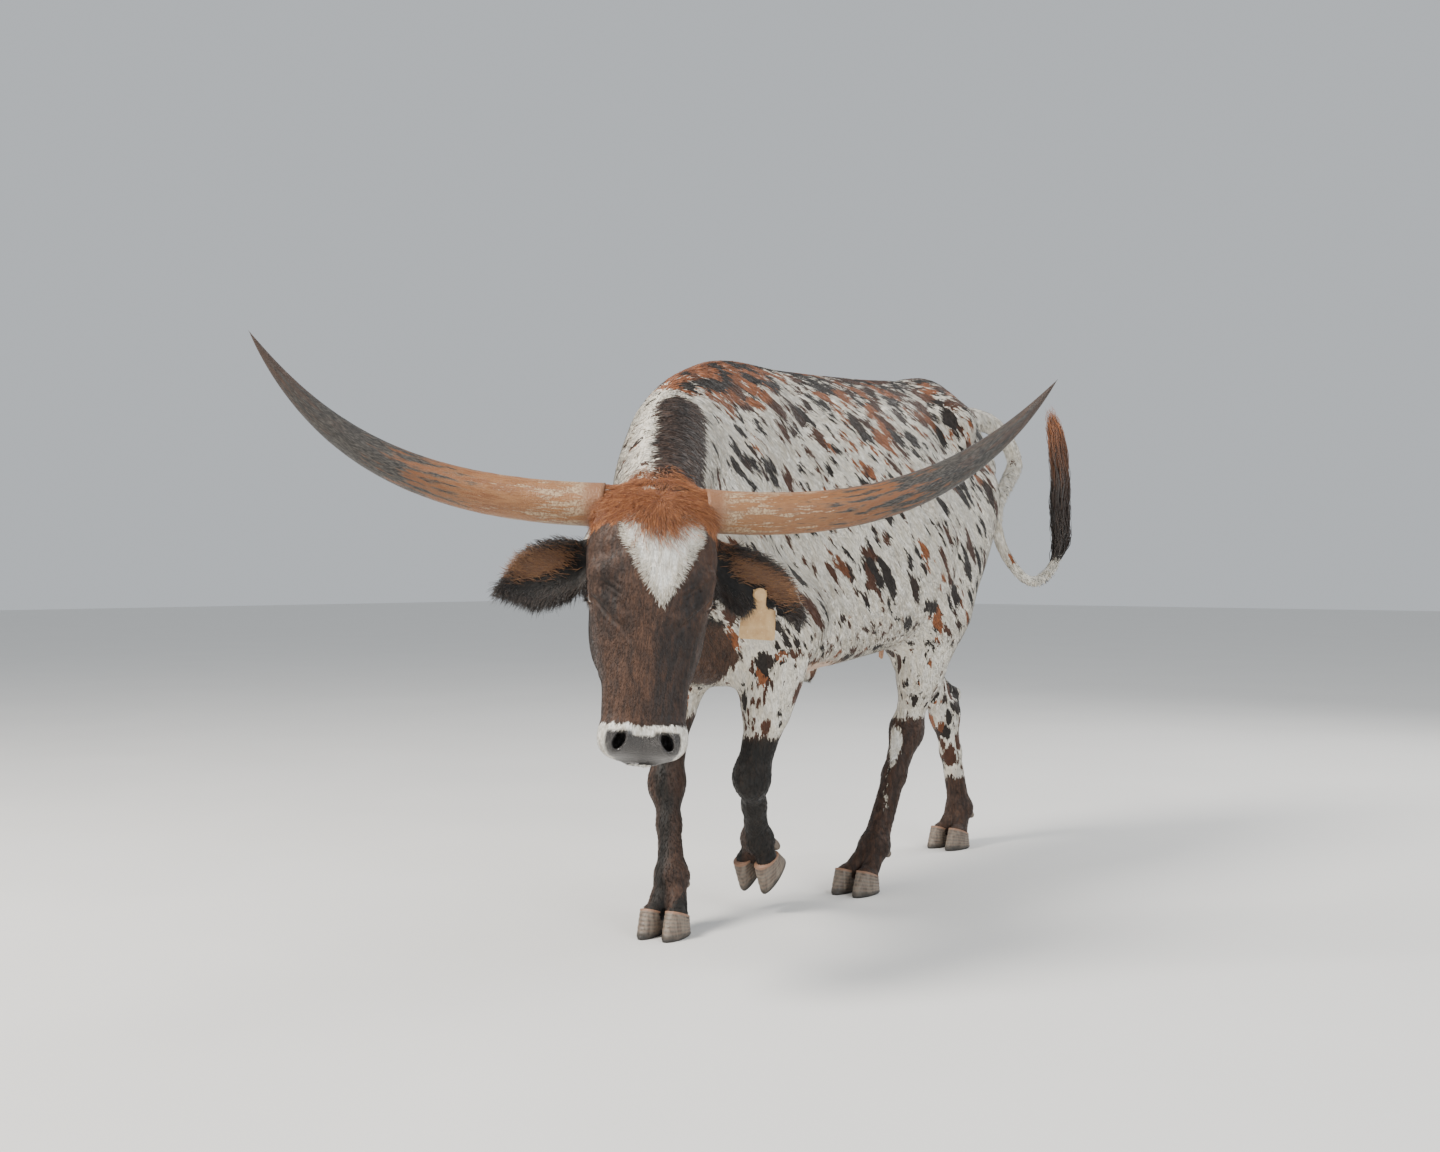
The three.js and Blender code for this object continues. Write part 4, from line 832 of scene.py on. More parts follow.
def frames_along(points, first):
    """Unit headings and two cross directions for points along a line."""
    heading = unit(np.gradient(points, axis=0))
    v = unit(np.cross(heading, np.array(first, float)))
    return heading, unit(np.cross(v, heading)), v


def loft(points, radius, sides, first):
    """Rings round a line: radius gives the size from a share along and a turn."""
    _, u, v = frames_along(points, first)
    turn = np.arange(sides) * 2 * np.pi / sides
    share = np.linspace(0, 1, len(points))
    r = radius(share[:, None], turn[None, :])
    rings = points[:, None] + u[:, None] * (r * np.cos(turn))[..., None]
    rings = rings + v[:, None] * (r * np.sin(turn))[..., None]
    verts = np.vstack((rings.reshape(-1, 3), points[:1], points[-1:]))
    place = np.stack(np.broadcast_arrays(share[:, None], np.cos(turn)[None], np.sin(turn)[None]), -1)
    place = np.vstack((place.reshape(-1, 3), (0, 0, 0), (1, 0, 0)))
    return verts, loft_faces(len(points), sides), place


def horn_line(name, side, t):
    """Points of a horn's middle line in the head's axes, at shares t along it."""
    a, b, c, d = (np.array((u * side, v, w), float) for u, v, w in HORNS[name])
    return (1 - t) ** 3 * a + 3 * (1 - t) ** 2 * t * b + 3 * (1 - t) * t**2 * c + t**3 * d


def horn(name, side):
    """A horn with shallow flutes and uneven growth rings, worn smooth towards its tip."""
    steps = 160
    line = on_head(horn_line(name, side, np.linspace(0, 1, steps)[:, None]))
    ridges = rng.normal(0, 1, steps)
    ridges = np.convolve(ridges, np.ones(3) / 3, "same")

    def radius(share, turn):
        bare = HORN_ROOT * (1 - share**2.8) ** 0.9 * (1 - 0.15 * share)
        bare = bare + HORN_TIP * (1 - share) ** 0.4
        worn = 0.35 * ridges[:, None] * (1 - share) * np.ones_like(turn)
        flute = 0.25 * np.sin(turn * 9 + 2) * (1 - share)
        return np.maximum(bare - 0.6 + worn + flute, 0.3)

    return loft(line, radius, 48, along_head((0, 0, 1)))


def claw(leg, side):
    """One of a foot's two main claws, in rings from its sole up to the coronet."""
    axes, middle = claw_frame(leg, side)
    shares = np.array((0, 0.03, 0.08, 0.16, 0.25, 0.34, 0.43, 0.52, 0.61, 0.7, 0.79, 0.88, 0.95, 1.0))
    sides = 40
    turn = np.arange(sides) * 2 * np.pi / sides
    rings = []
    for share in shares:
        blunt = [np.sign(v) * np.abs(v) ** 0.8 for v in (np.sin(turn), np.cos(turn))]
        across = blunt[0] * np.where(np.sin(turn) * side > 0, 1, 0.86)
        forward = blunt[1]
        ahead, behind = CLAW["front"] * (1 - 0.52 * share), CLAW["back"] * (1 - 0.12 * share)
        long = np.where(forward > 0, ahead, behind)
        grow = -3 + 3 * smooth(0, 0.08, share) + 0.5 * np.sin(share * 42) * (share > 0.1) * (share < 0.98)
        point = 1 - 0.3 * np.maximum(forward, 0) ** 2 * (1 - share)
        y = forward * (long + grow)
        x = across * (CLAW["wide"] / 2 - 2 * share + grow) * point
        slant = (y + CLAW["back"]) / (CLAW["front"] * 0.45 + CLAW["back"])
        high = CLAW["heel_high"] + (CLAW["toe_high"] - CLAW["heel_high"]) * slant
        rings.append(np.stack((x, y, share * high), 1))
    rings = np.array(rings)
    verts = np.vstack((rings.reshape(-1, 3), rings[0].mean(0), rings[-1].mean(0)))
    place = np.column_stack((np.append(np.repeat(shares, sides), (0, 1)), verts[:, :2] / 60))
    verts = verts @ axes + middle
    verts[:, 2] = np.maximum(verts[:, 2], 0)
    return verts, loft_faces(len(shares), sides), place


def dewclaw(leg, side):
    """A small blunt claw behind the fetlock."""
    fetlock = np.array(leg["fetlock"], float)
    heading = np.radians(leg["heading"])
    back = np.array((-np.sin(heading), np.cos(heading), 0))
    across = np.array((-back[1], back[0], 0))
    out = DEWCLAW["back"] + DEWCLAW["bulge"] * leg["lift"]
    root = fetlock - (0, 0, DEWCLAW["below"]) + across * side * DEWCLAW["spread"] + back * out
    start = root - across * side * 7 - back * 14
    end = root + back * 12 - np.array((0, 0, DEWCLAW["long"] * 0.6))
    t = np.linspace(0, 1, 9)[:, None]

    def radius(share, turn):
        blunt = (1 - 0.4 * share**2) * np.sqrt(1 - 0.75 * share**8)
        return (DEWCLAW["radius"] - 0.5) * blunt * np.ones_like(turn)

    return loft(start + (end - start) * t, radius, 20, across)


def eyeball(side):
    """An eyeball with the cornea's bulge, and each point's way from its middle."""
    corner, up, out = eye_axes()
    rows, sides = 29, 40
    polar = np.linspace(0, np.pi, rows)
    turn = np.arange(sides) * 2 * np.pi / sides
    polar, turn = np.meshgrid(polar, turn, indexing="ij")
    bulge = 1 + 0.05 * np.exp(-((polar / 0.45) ** 2))
    ring = np.stack((np.sin(polar) * np.cos(turn), np.sin(polar) * np.sin(turn), np.cos(polar)), -1)
    look = ring[1:-1].reshape(-1, 3)
    size = (EYE_RADIUS - 0.6) * (bulge[1:-1].reshape(-1, 1))
    local = look * size
    local = np.vstack((local, (0, 0, size[0, 0]), (0, 0, -size[-1, 0])))
    look = np.vstack((look, (0, 0, 1), (0, 0, -1)))
    at = local[:, :1] * corner + local[:, 1:2] * up + local[:, 2:] * out + EYE
    at = at * (side, 1, 1)
    return on_head(at), loft_faces(rows - 2, sides), look


# Hair: closed tufts and strands, made many at a time

# Width of a hair's patch on the unwrap, and how deep a tuft's root is sunk in the skin
PATCH = 0.003
SUNK = 0.8


def leaf_tufts(root, lie, normal, long, wide, thick, sink, lift):
    """Flat tufts of four points and four faces: a sunk root, two shoulders and a tip."""
    half = unit(np.cross(lie, normal)) * wide[:, None] / 2
    long, lift = long[:, None], lift[:, None]
    middle = root + lie * long * 0.4 + normal * (lift * 0.6 + thick)
    tip = root + lie * long + normal * lift
    verts = np.stack((root - normal * sink, middle - half, middle + half, tip), 1)
    pattern = np.array(((0, 2, 1), (3, 1, 2), (0, 1, 3), (0, 3, 2)))
    faces = (np.arange(len(root))[:, None, None] * 4 + pattern).reshape(-1, 3)
    spread_uv = np.array(((0, -1), (-1, 0), (1, 0), (0, 1)))
    return verts.reshape(-1, 3), faces, spread_uv


def strand_hair(lines, normals, wide, thick):
    """Long tapered strands of three sides along given lines (strand, step, xyz)."""
    count, steps, _ = lines.shape
    heading = unit(np.gradient(lines, axis=1))
    normal = unit(normals - heading * np.sum(normals * heading, -1, keepdims=True))
    across = np.cross(heading, normal)
    t = np.linspace(0, 1, steps)
    taper = np.minimum(1, 0.55 + 1.6 * t) * (1 - t**2.2)
    half = np.reshape(wide, (-1, 1, 1)) / 2 * taper[None, :-1, None]
    deep = np.reshape(thick, (-1, 1, 1)) * taper[None, :-1, None]
    a, c, n = lines[:, :-1], across[:, :-1] * half, normal[:, :-1] * deep
    rings = np.stack((a - c - n * 0.4, a + n * 0.6, a + c - n * 0.4), 2)
    verts = np.concatenate((rings.reshape(count, -1, 3), lines[:, -1:]), 1)
    faces = []
    for i in range(steps - 2):
        for k in range(3):
            p, q = i * 3 + k, i * 3 + (k + 1) % 3
            faces += [(p, p + 3, q + 3), (p, q + 3, q)]
    last, tip = (steps - 2) * 3, (steps - 1) * 3
    faces += [(last + k, tip, last + (k + 1) % 3) for k in range(3)] + [(0, 1, 2)]
    per = tip + 1
    faces = (np.arange(count)[:, None, None] * per + np.array(faces)).reshape(-1, 3)
    side = np.append(np.tile((-1, 0, 1), steps - 1), 0)
    up = np.append(np.repeat(t[:-1], 3) * 2 - 1, 1)
    return verts.reshape(-1, 3), faces, np.stack((side, up), 1)


def hair_fields(root, spread_uv, per, shade):
    """What each hair keeps of its root: its place, its shade, and its patch of the unwrap."""
    patch = unwrap(root)[:, None] + spread_uv[None] * PATCH / 2
    return {
        "place": np.repeat(placed(root), per, 0),
        "shade": np.repeat(shade, per),
        "OFBake": patch.reshape(-1, 2),
    }


# Markings: how far inside each patch of colour a point lies, in millimetres


def blot(p, at, size):
    """How far inside a rounded patch about a point."""
    size = np.array(size, float)
    return (1 - np.linalg.norm((p - np.array(at, float)) / size, axis=1)) * size.min()


def band(p, points, half):
    """How far inside a band along a line."""
    return half - polyline(p, points)


def most(*parts):
    return np.max(parts, axis=0)


def least(*parts):
    return np.min(parts, axis=0)


HEART_LOBES = [(-19, -96), (49, -94)]
HEART_TIP = (20, -226)
RUSTY_SPOTS = [
    ((122, 320, 1213), (60, 30, 34)),
    ((188, 371, 1117), (50, 24, 44)),
    ((194, 274, 1077), (50, 22, 36)),
    ((214, 314, 1038), (50, 24, 36)),
    ((183, 391, 1131), (50, 26, 52)),
    ((232, 443, 1032), (50, 26, 42)),
    ((60, 520, 1280), (60, 46, 60)),
]
DARK_SPOTS = [
    ((241, 268, 833), (60, 36, 42)),
    ((224, 220, 784), (60, 22, 30)),
    ((232, 262, 768), (60, 18, 22)),
    ((252, 354, 790), (60, 20, 26)),
    ((242, 550, 724), (60, 44, 40)),
    ((251, -149, 836), (60, 16, 40)),
    ((176, 40, 995), (60, 14, 34)),
    ((178, -19, 590), (50, 20, 44)),
]


def heart(q):
    """The white heart on the forehead."""
    u, v, w = q.T
    lobes = most(*[36 - np.hypot(u - a, v - b) for a, b in HEART_LOBES])
    share = np.clip((-v - 96) / (-HEART_TIP[1] - 96), 0, 1.2)
    middle = 15 + (HEART_TIP[0] - 15) * share
    point = 67 * np.maximum(1 - share, 0) ** 0.85 - np.abs(u - middle)
    point = least(np.where(v < -92, point * 0.75, -50), (v - HEART_TIP[1]) * 0.6)
    return least(most(lobes, point), w - 20)


def leg_edges(p):
    """Height where each leg's dark stocking begins."""
    left = p[:, 0] > 30
    return np.where(p[:, 1] < 420, np.where(left, 432, 470), np.where(left, 425, 200))


def spots_near(p, spots, wide):
    """How near points lie to the middle of the nearest of some soft spots, 1 at it."""
    away = [((p - at) / np.array(size) / wide) ** 2 for at, size in spots]
    return most(*[np.exp(-each.sum(1)) for each in away])


def coat_fields(p):
    """What the coat's material reads at each point: patches of colour and how the hair lies."""
    q = to_head(p)
    u, v, w = q.T
    x, y, z = p.T
    bone = skull(q)
    on_skull = smooth(45, 5, bone) * smooth(-175, -140, w)
    ear_near = ears(q)
    head_share = np.maximum(on_skull, smooth(12, 4, ear_near))
    leg_share = smooth(660, 600, z) * (legs(p) < barrel(p))
    leg_share = np.where(z < 520, 1.0, leg_share)
    leg_share *= 1 - smooth(14, 4, tail(p))
    head_in = (head_share - 0.5) * 70

    strip = band(p, [(62, 640, 402), (78, 556, 300), (96, 520, 205)], 17)
    stocking = least(np.where(z < 640, leg_edges(p) - z, -60), -strip)
    crest = band(p, [(150, -290, 1150), (196, -340, 1092), (290, -455, 985), (330, -500, 930)], 56)
    throat = least(125 + 0.35 * (z - 650) - x, -60 - y, 905 - z)
    throat = least(throat, z - 560 + 0.5 * x, x + 40 + 0.3 * (z - 600))
    ears_in = 16 - ear_near
    cap = smooth(-30, 50, blot(p, (40, -120, 1275), (240, 230, 130)))
    withers = 0.55 * smooth(1190, 1270, z) * smooth(500, 300, y)
    warm = most(spots_near(p, RUSTY_SPOTS, 1.3), cap * 1.3, withers)
    heavy = spots_near(p, DARK_SPOTS, 1.0)

    poll = least(v + 72 + 0.00105 * u * u, on_skull * 80 - 30)
    poll = most(poll, least(blot(q, (12, -60, 66), (46, 62, 60)), head_in))
    side = both_sides(q)
    muzzle = least(-v - 452 + 0.0022 * u * u - 0.00002 * np.abs(u) ** 3, head_in + 20)
    pad = least(53 - np.abs(u - 4), -v - 470 + 0.002 * u * u, w + 12)
    holes = 26 - np.linalg.norm((side - NOSTRIL) / (1, 1.3, 2.0), axis=1)
    pad = most(pad, least(holes, -v - 462))
    pale = most(heart(q), least(muzzle, -pad + 4), strip)
    brown = most(head_in, crest, stocking, throat, ears_in)

    # darker brown: the coat's own round the eyes and on the crest; painted shade down the left of the
    # face, the side away from the light, and under the jaw; and darker towards the bottom low on the
    # front and legs
    round_eye = np.exp(-((blot(side, (76, -214, 60), (40, 84, 46)) - 40) / 34) ** 2)
    left_cheek = 0.85 * smooth(0, 22, u) * smooth(-215, -290, v) * smooth(0, 40, w)
    jaw = 0.7 * smooth(60, -10, w) * smooth(-100, -200, v)
    low_front = 0.9 * (z < 600) * (x > -30) * (1 - head_share)
    dusk = most(round_eye, left_cheek, low_front, jaw) * smooth(-40, -110, v) * on_skull
    on_crest = smooth(25, 70, crest) * 0.6 + 0.5 * (crest > -10)
    dusk = most(dusk, on_crest, 0.35 * smooth(560, 520, z) * (1 - head_share))

    front = np.where((y < 420) & (z < 430), 14 - np.abs(x + 62 - 0.2 * (318 - z)), -40)
    left_leg = np.where(z < 640, leg_edges(p) - z - 6, -60)
    black_leg = np.where((x > 30) & (y < 420), left_leg, np.where(x < 30, front, -40))
    black = most(least(throat, z - 690), least(ears_in, head_in + 20), black_leg)
    bag = udder(p)
    belly = most(blot(p, (0, 770, 640), (130, 170, 110)), blot(p, (60, 250, 575), (70, 90, 34)))
    bare = most(least(40 - bag, 640 - z), belly, 8 - bag)
    speckle = 0.42 + 0.22 * smooth(950, 1150, z) * smooth(100, 260, y) - 0.1 * smooth(900, 1100, y)
    speckle = speckle + 0.2 * smooth(1180, 1260, z) - 0.14 * smooth(-150, -260, y) * (z > 800)
    speckle = np.where(z < 640, 0.42, speckle) * (1 - 0.6 * smooth(14, 4, tail(p)))
    speckle = np.where((y > 1000) & (z < 560) & (x < 0), 0.62, speckle)
    speckle = speckle + 0.5 * cap + 0.16 * np.minimum(warm, 1) + 0.3 * heavy
    return {
        "place": placed(p),
        "speckle": speckle,
        "warm": np.minimum(warm, 1.0),
        "dusk": np.clip(dusk, 0, 1),
        "brown": brown,
        "rust": poll,
        "black": black,
        "pale": pale,
        "bare": bare,
        "pad": pad,
        "legs": leg_share,
        "face": head_share,
    }


# Materials


def feed(tree, node, inputs):
    """The same node, with each input given a value or a link from another node."""
    for key, value in inputs.items():
        if isinstance(value, bpy.types.NodeSocket):
            tree.links.new(value, node.inputs[key])
        else:
            node.inputs[key].default_value = value
    return node


def add(tree, kind, inputs=None, **settings):
    """A new node with its settings and inputs."""
    node = tree.nodes.new(kind)
    for key, value in settings.items():
        setattr(node, key, value)
    return feed(tree, node, inputs or {})


def calc(tree, operation, *values):
    return add(tree, "ShaderNodeMath", dict(enumerate(values)), operation=operation).outputs[0]


def times(tree, first, second):
    return calc(tree, "MULTIPLY", first, second)


def plus(tree, first, second):
    return calc(tree, "ADD", first, second)


def minus(tree, first, second):
    return calc(tree, "SUBTRACT", first, second)


def vector_calc(tree, operation, inputs):
    return add(tree, "ShaderNodeVectorMath", inputs, operation=operation).outputs[0]


def mix_values(tree, share, first, second):
    return add(tree, "ShaderNodeMix", {0: share, 2: first, 3: second}).outputs[0]


def mix_vectors(tree, share, first, second):
    return add(tree, "ShaderNodeMix", {0: share, 4: first, 5: second}, data_type="VECTOR").outputs[1]


def ramp(tree, value, low, high, start=0.0, end=1.0):
    inputs = {"Value": value, "From Min": low, "From Max": high, "To Min": start, "To Max": end}
    return add(tree, "ShaderNodeMapRange", inputs, interpolation_type="SMOOTHSTEP").outputs[0]


def solid(paint):
    """A colour with its alpha, or the link it comes by."""
    return paint if isinstance(paint, bpy.types.NodeSocket) else (*paint, 1.0)


def blend_colors(tree, share, first, second, kind="MIX"):
    inputs = {0: share, 6: solid(first), 7: solid(second)}
    return add(tree, "ShaderNodeMix", inputs, data_type="RGBA", blend_type=kind).outputs[2]


def tones(tree, value, low, high, first, second):
    """Two colours, the second coming in while a value goes from low to high."""
    return blend_colors(tree, ramp(tree, value, low, high), first, second)


def noise(tree, place, scale, detail=2.0, rough=0.5):
    inputs = {"Vector": place, "Scale": scale, "Detail": detail, "Roughness": rough}
    return add(tree, "ShaderNodeTexNoise", inputs).outputs["Fac"]


SOCKETS = {"value": "NodeSocketFloat", "vector": "NodeSocketVector", "color": "NodeSocketColor"}


def shader_group(name, takes, gives):
    """A shader node group, its inputs' sockets to read from, and its outputs' sockets to feed."""
    tree = bpy.data.node_groups.new(name, "ShaderNodeTree")
    for label, kind in takes.items():
        tree.interface.new_socket(name=label, in_out="INPUT", socket_type=SOCKETS[kind])
    for label, kind in gives.items():
        tree.interface.new_socket(name=label, in_out="OUTPUT", socket_type=SOCKETS[kind])
    return tree, tree.nodes.new("NodeGroupInput").outputs, tree.nodes.new("NodeGroupOutput").inputs


def use_group(tree, group, inputs):
    node = add(tree, "ShaderNodeGroup", node_tree=group)
    return feed(tree, node, inputs).outputs


def combed(tree, place, turn, long):
    """Places squeezed along the lie of the hair, so that a texture there is drawn out along it."""
    inputs = {"Vector": place, "Rotation": turn, "Scale": (1, 1, long)}
    return add(tree, "ShaderNodeMapping", inputs, vector_type="TEXTURE").outputs[0]


FLANK_LIE = (np.radians(36.87), 0, 0)
LEG_LIE = (0, 0, 0)
FACE_LIE = tuple(Matrix(np.stack((HEAD[0], -HEAD[2], HEAD[1]), 1).tolist()).to_euler())


def values(*labels):
    return {label: "value" for label in labels}


def make_hair_grain():
    """Fine streaks and coarser clumps drawn out along the hair of trunk, legs and face."""
    takes = {"Place": "vector"} | values("Legs", "Face")
    tree, take, give = shader_group("hair_grain", takes, values("Streak", "Clump"))
    for label, scale, long in (("Streak", 420, 8), ("Clump", 95, 4)):
        lies = [combed(tree, take["Place"], turn, long) for turn in (FLANK_LIE, LEG_LIE, FACE_LIE)]
        body, leg, face = (noise(tree, lie, scale) for lie in lies)
        both = mix_values(tree, take["Legs"], body, leg)
        tree.links.new(mix_values(tree, take["Face"], both, face), give[label])
    return tree


def make_ragged_edge():
    """The mask of a patch of colour whose edge is broken up by the grain of the hair."""
    takes = values("Inside", "Grain", "Ragged", "Soft")
    tree, take, give = shader_group("ragged_edge", takes, values("Mask"))
    shift = times(tree, minus(tree, take["Grain"], 0.5), take["Ragged"])
    away = plus(tree, take["Inside"], shift)
    share = calc(tree, "DIVIDE", away, take["Soft"])
    tree.links.new(ramp(tree, share, -1.0, 1.0), give["Mask"])
    return tree


def make_speckles():
    """Flecks of many sizes with ragged edges, and a tone for each."""
    takes = {"Combed": "vector"} | values("Size", "Amount")
    tree, take, give = shader_group("speckles", takes, values("Mask", "Tone"))
    inputs = {"Vector": take["Combed"], "Scale": 55, "Detail": 2.5}
    wander = add(tree, "ShaderNodeTexNoise", inputs).outputs["Color"]
    wander = vector_calc(tree, "SUBTRACT", {0: wander, 1: (0.5, 0.5, 0.5)})
    wander = vector_calc(tree, "SCALE", {0: wander, "Scale": 0.022})
    at = vector_calc(tree, "ADD", {0: take["Combed"], 1: wander})
    cells = add(tree, "ShaderNodeTexVoronoi", {"Vector": at, "Scale": take["Size"], "Randomness": 1.0})
    draw = add(tree, "ShaderNodeSeparateColor", {0: cells.outputs["Color"]}).outputs
    size = times(tree, minus(tree, plus(tree, draw[0], take["Amount"]), 0.72), 0.9)
    mask = minus(tree, size, cells.outputs["Distance"])
    tree.links.new(ramp(tree, mask, -0.02, 0.035), give["Mask"])
    tree.links.new(draw[1], give["Tone"])
    return tree


# Fields of the coat, and how far each patch's edge is broken up by the grain and how soft it is
COAT_SHARES = ("Speckle", "Legs", "Face", "Shade", "Warm", "Dusk")
PATCHES = {"Brown": (46, 1.6), "Rust": (46, 4), "Black": (60, 7)}
PATCHES |= {"Pale": (26, 2.0), "Bare": (34, 18), "Pad": (8, 2.5)}


def make_longhorn_coat(grain_group, edge_group, speckle_group):
    """The longhorn's colours, the same on the skin and on the tufts that grow from it."""
    takes = {"Place": "vector"} | values(*COAT_SHARES, *PATCHES)
    gives = {"Color": "color"} | values("Roughness", "Height", "Wet")
    tree, take, give = shader_group("longhorn_coat", takes, gives)
    grain = use_group(tree, grain_group, {key: take[key] for key in ("Place", "Legs", "Face")})
    streak, clump = grain["Streak"], grain["Clump"]
    both = plus(tree, times(tree, clump, 0.65), times(tree, streak, 0.35))
    masks = {}
    for label, (ragged, soft) in PATCHES.items():
        inputs = {"Inside": take[label], "Grain": both, "Ragged": ragged, "Soft": soft}
        masks[label] = use_group(tree, edge_group, inputs)["Mask"]

    wide = noise(tree, take["Place"], 5.0, 3)
    white = tones(tree, wide, 0.35, 0.7, (0.74, 0.68, 0.56), (0.6, 0.53, 0.42))
    white = tones(tree, clump, 0.3, 0.7, white, (0.78, 0.74, 0.66))
    flank = combed(tree, take["Place"], FLANK_LIE, 3.4)
    shank = combed(tree, take["Place"], LEG_LIE, 1.9)
    which = calc(tree, "GREATER_THAN", take["Legs"], 0.5)
    lie = mix_vectors(tree, which, flank, shank)
    large = use_group(tree, speckle_group, {"Combed": lie, "Size": 34, "Amount": take["Speckle"]})
    small = minus(tree, take["Speckle"], 0.06)
    small = use_group(tree, speckle_group, {"Combed": lie, "Size": 74, "Amount": small})
    spots = calc(tree, "MAXIMUM", large["Mask"], small["Mask"])
    fleck = tones(tree, large["Tone"], 0.35, 0.6, (0.02, 0.014, 0.011), (0.075, 0.028, 0.014))
    warmth = plus(tree, large["Tone"], times(tree, take["Warm"], 0.5))
    fleck = tones(tree, warmth, 0.88, 0.93, fleck, (0.26, 0.085, 0.028))
    made = blend_colors(tree, spots, white, fleck)

    brown = tones(tree, both, 0.3, 0.7, (0.032, 0.017, 0.011), (0.098, 0.048, 0.028))
    # the darkening field takes the brown towards near-black, less where the grain is light: the coat's
    # own darker brown round the eyes and on the crest, and painted shade on the left of the face and
    # under the jaw
    dim = times(tree, take["Dusk"], ramp(tree, both, 0.75, 0.35, 0.55, 1.0))
    brown = blend_colors(tree, dim, brown, (0.012, 0.009, 0.008))
    made = blend_colors(tree, masks["Brown"], made, brown)
    rust = tones(tree, both, 0.3, 0.68, (0.16, 0.042, 0.012), (0.46, 0.17, 0.055))
    made = blend_colors(tree, masks["Rust"], made, rust)
    black = tones(tree, both, 0.4, 0.8, (0.006, 0.005, 0.004), (0.03, 0.02, 0.014))
    made = blend_colors(tree, masks["Black"], made, black)
    pale = tones(tree, both, 0.3, 0.65, (0.58, 0.52, 0.42), (0.84, 0.82, 0.76))
    made = blend_colors(tree, masks["Pale"], made, pale)
    pink = tones(tree, wide, 0.3, 0.7, (0.48, 0.24, 0.13), (0.62, 0.38, 0.24))
    made = blend_colors(tree, times(tree, masks["Bare"], 0.8), made, pink)
    pebbles = add(tree, "ShaderNodeTexVoronoi", {"Vector": take["Place"], "Scale": 420})
    pebbles = pebbles.outputs["Distance"]
    slate = tones(tree, pebbles, 0.1, 0.6, (0.075, 0.066, 0.06), (0.026, 0.022, 0.02))
    made = blend_colors(tree, masks["Pad"], made, slate)
    tone = ramp(tree, take["Shade"], 0.0, 1.0, 0.78, 1.2)
    tone = times(tree, tone, ramp(tree, streak, 0.25, 0.75, 0.82, 1.12))
    tint = add(tree, "ShaderNodeCombineColor", {0: tone, 1: tone, 2: tone}).outputs[0]
    made = blend_colors(tree, 1.0, made, tint, "MULTIPLY")
    tree.links.new(made, give["Color"])

    rough = ramp(tree, streak, 0.2, 0.8, 0.52, 0.78)
    tree.links.new(mix_values(tree, masks["Pad"], rough, 0.36), give["Roughness"])
    hair_height = plus(tree, times(tree, streak, 0.5), times(tree, clump, 0.9))
    pad_height = times(tree, pebbles, -1.3)
    tree.links.new(mix_values(tree, masks["Pad"], hair_height, pad_height), give["Height"])
    tree.links.new(times(tree, masks["Pad"], 0.6), give["Wet"])
    return tree


def new_material(name):
    material = bpy.data.materials.new(name)
    material.use_nodes = True
    tree = material.node_tree
    return material, tree, tree.nodes["Principled BSDF"]


def read_field(tree, name, kind="Fac"):
    return add(tree, "ShaderNodeAttribute", attribute_name=name).outputs[kind]


def bump(tree, height, distance, strength=1.0):
    inputs = {"Height": height, "Distance": distance, "Strength": strength}
    return add(tree, "ShaderNodeBump", inputs).outputs["Normal"]


grain_group = make_hair_grain()
edge_group = make_ragged_edge()
speckle_group = make_speckles()
coat_group = make_longhorn_coat(grain_group, edge_group, speckle_group)


def coat_material(name, depth, soft=0.0):
    """Hide or tufts: the coat's colours, with its grain pressed in by depth."""
    material, tree, shader = new_material(name)
    inputs = {label: read_field(tree, label.lower()) for label in (*COAT_SHARES, *PATCHES)}
    inputs["Place"] = read_field(tree, "place", "Vector")
    coat = use_group(tree, coat_group, inputs)
    feed(tree, shader, {"Base Color": coat["Color"], "Roughness": coat["Roughness"]})
    feed(tree, shader, {"Coat Weight": coat["Wet"]})
    inputs = {"Height": coat["Height"], "Distance": depth, "Strength": 1.0}
    pressed = add(tree, "ShaderNodeBump", inputs)
    if soft:
        grown = read_field(tree, "out", "Vector")
        facing = add(tree, "ShaderNodeNewGeometry").outputs["Normal"]
        even = vector_calc(tree, "NORMALIZE", {0: mix_vectors(tree, soft, facing, grown)})
        tree.links.new(even, pressed.inputs["Normal"])
    feed(tree, shader, {"Normal": pressed.outputs[0]})
    feed(tree, shader, {"Coat Roughness": 0.18, "Specular IOR Level": 0.35})
    feed(tree, shader, {"Sheen Weight": 0.12, "Sheen Roughness": 0.45})
    return material


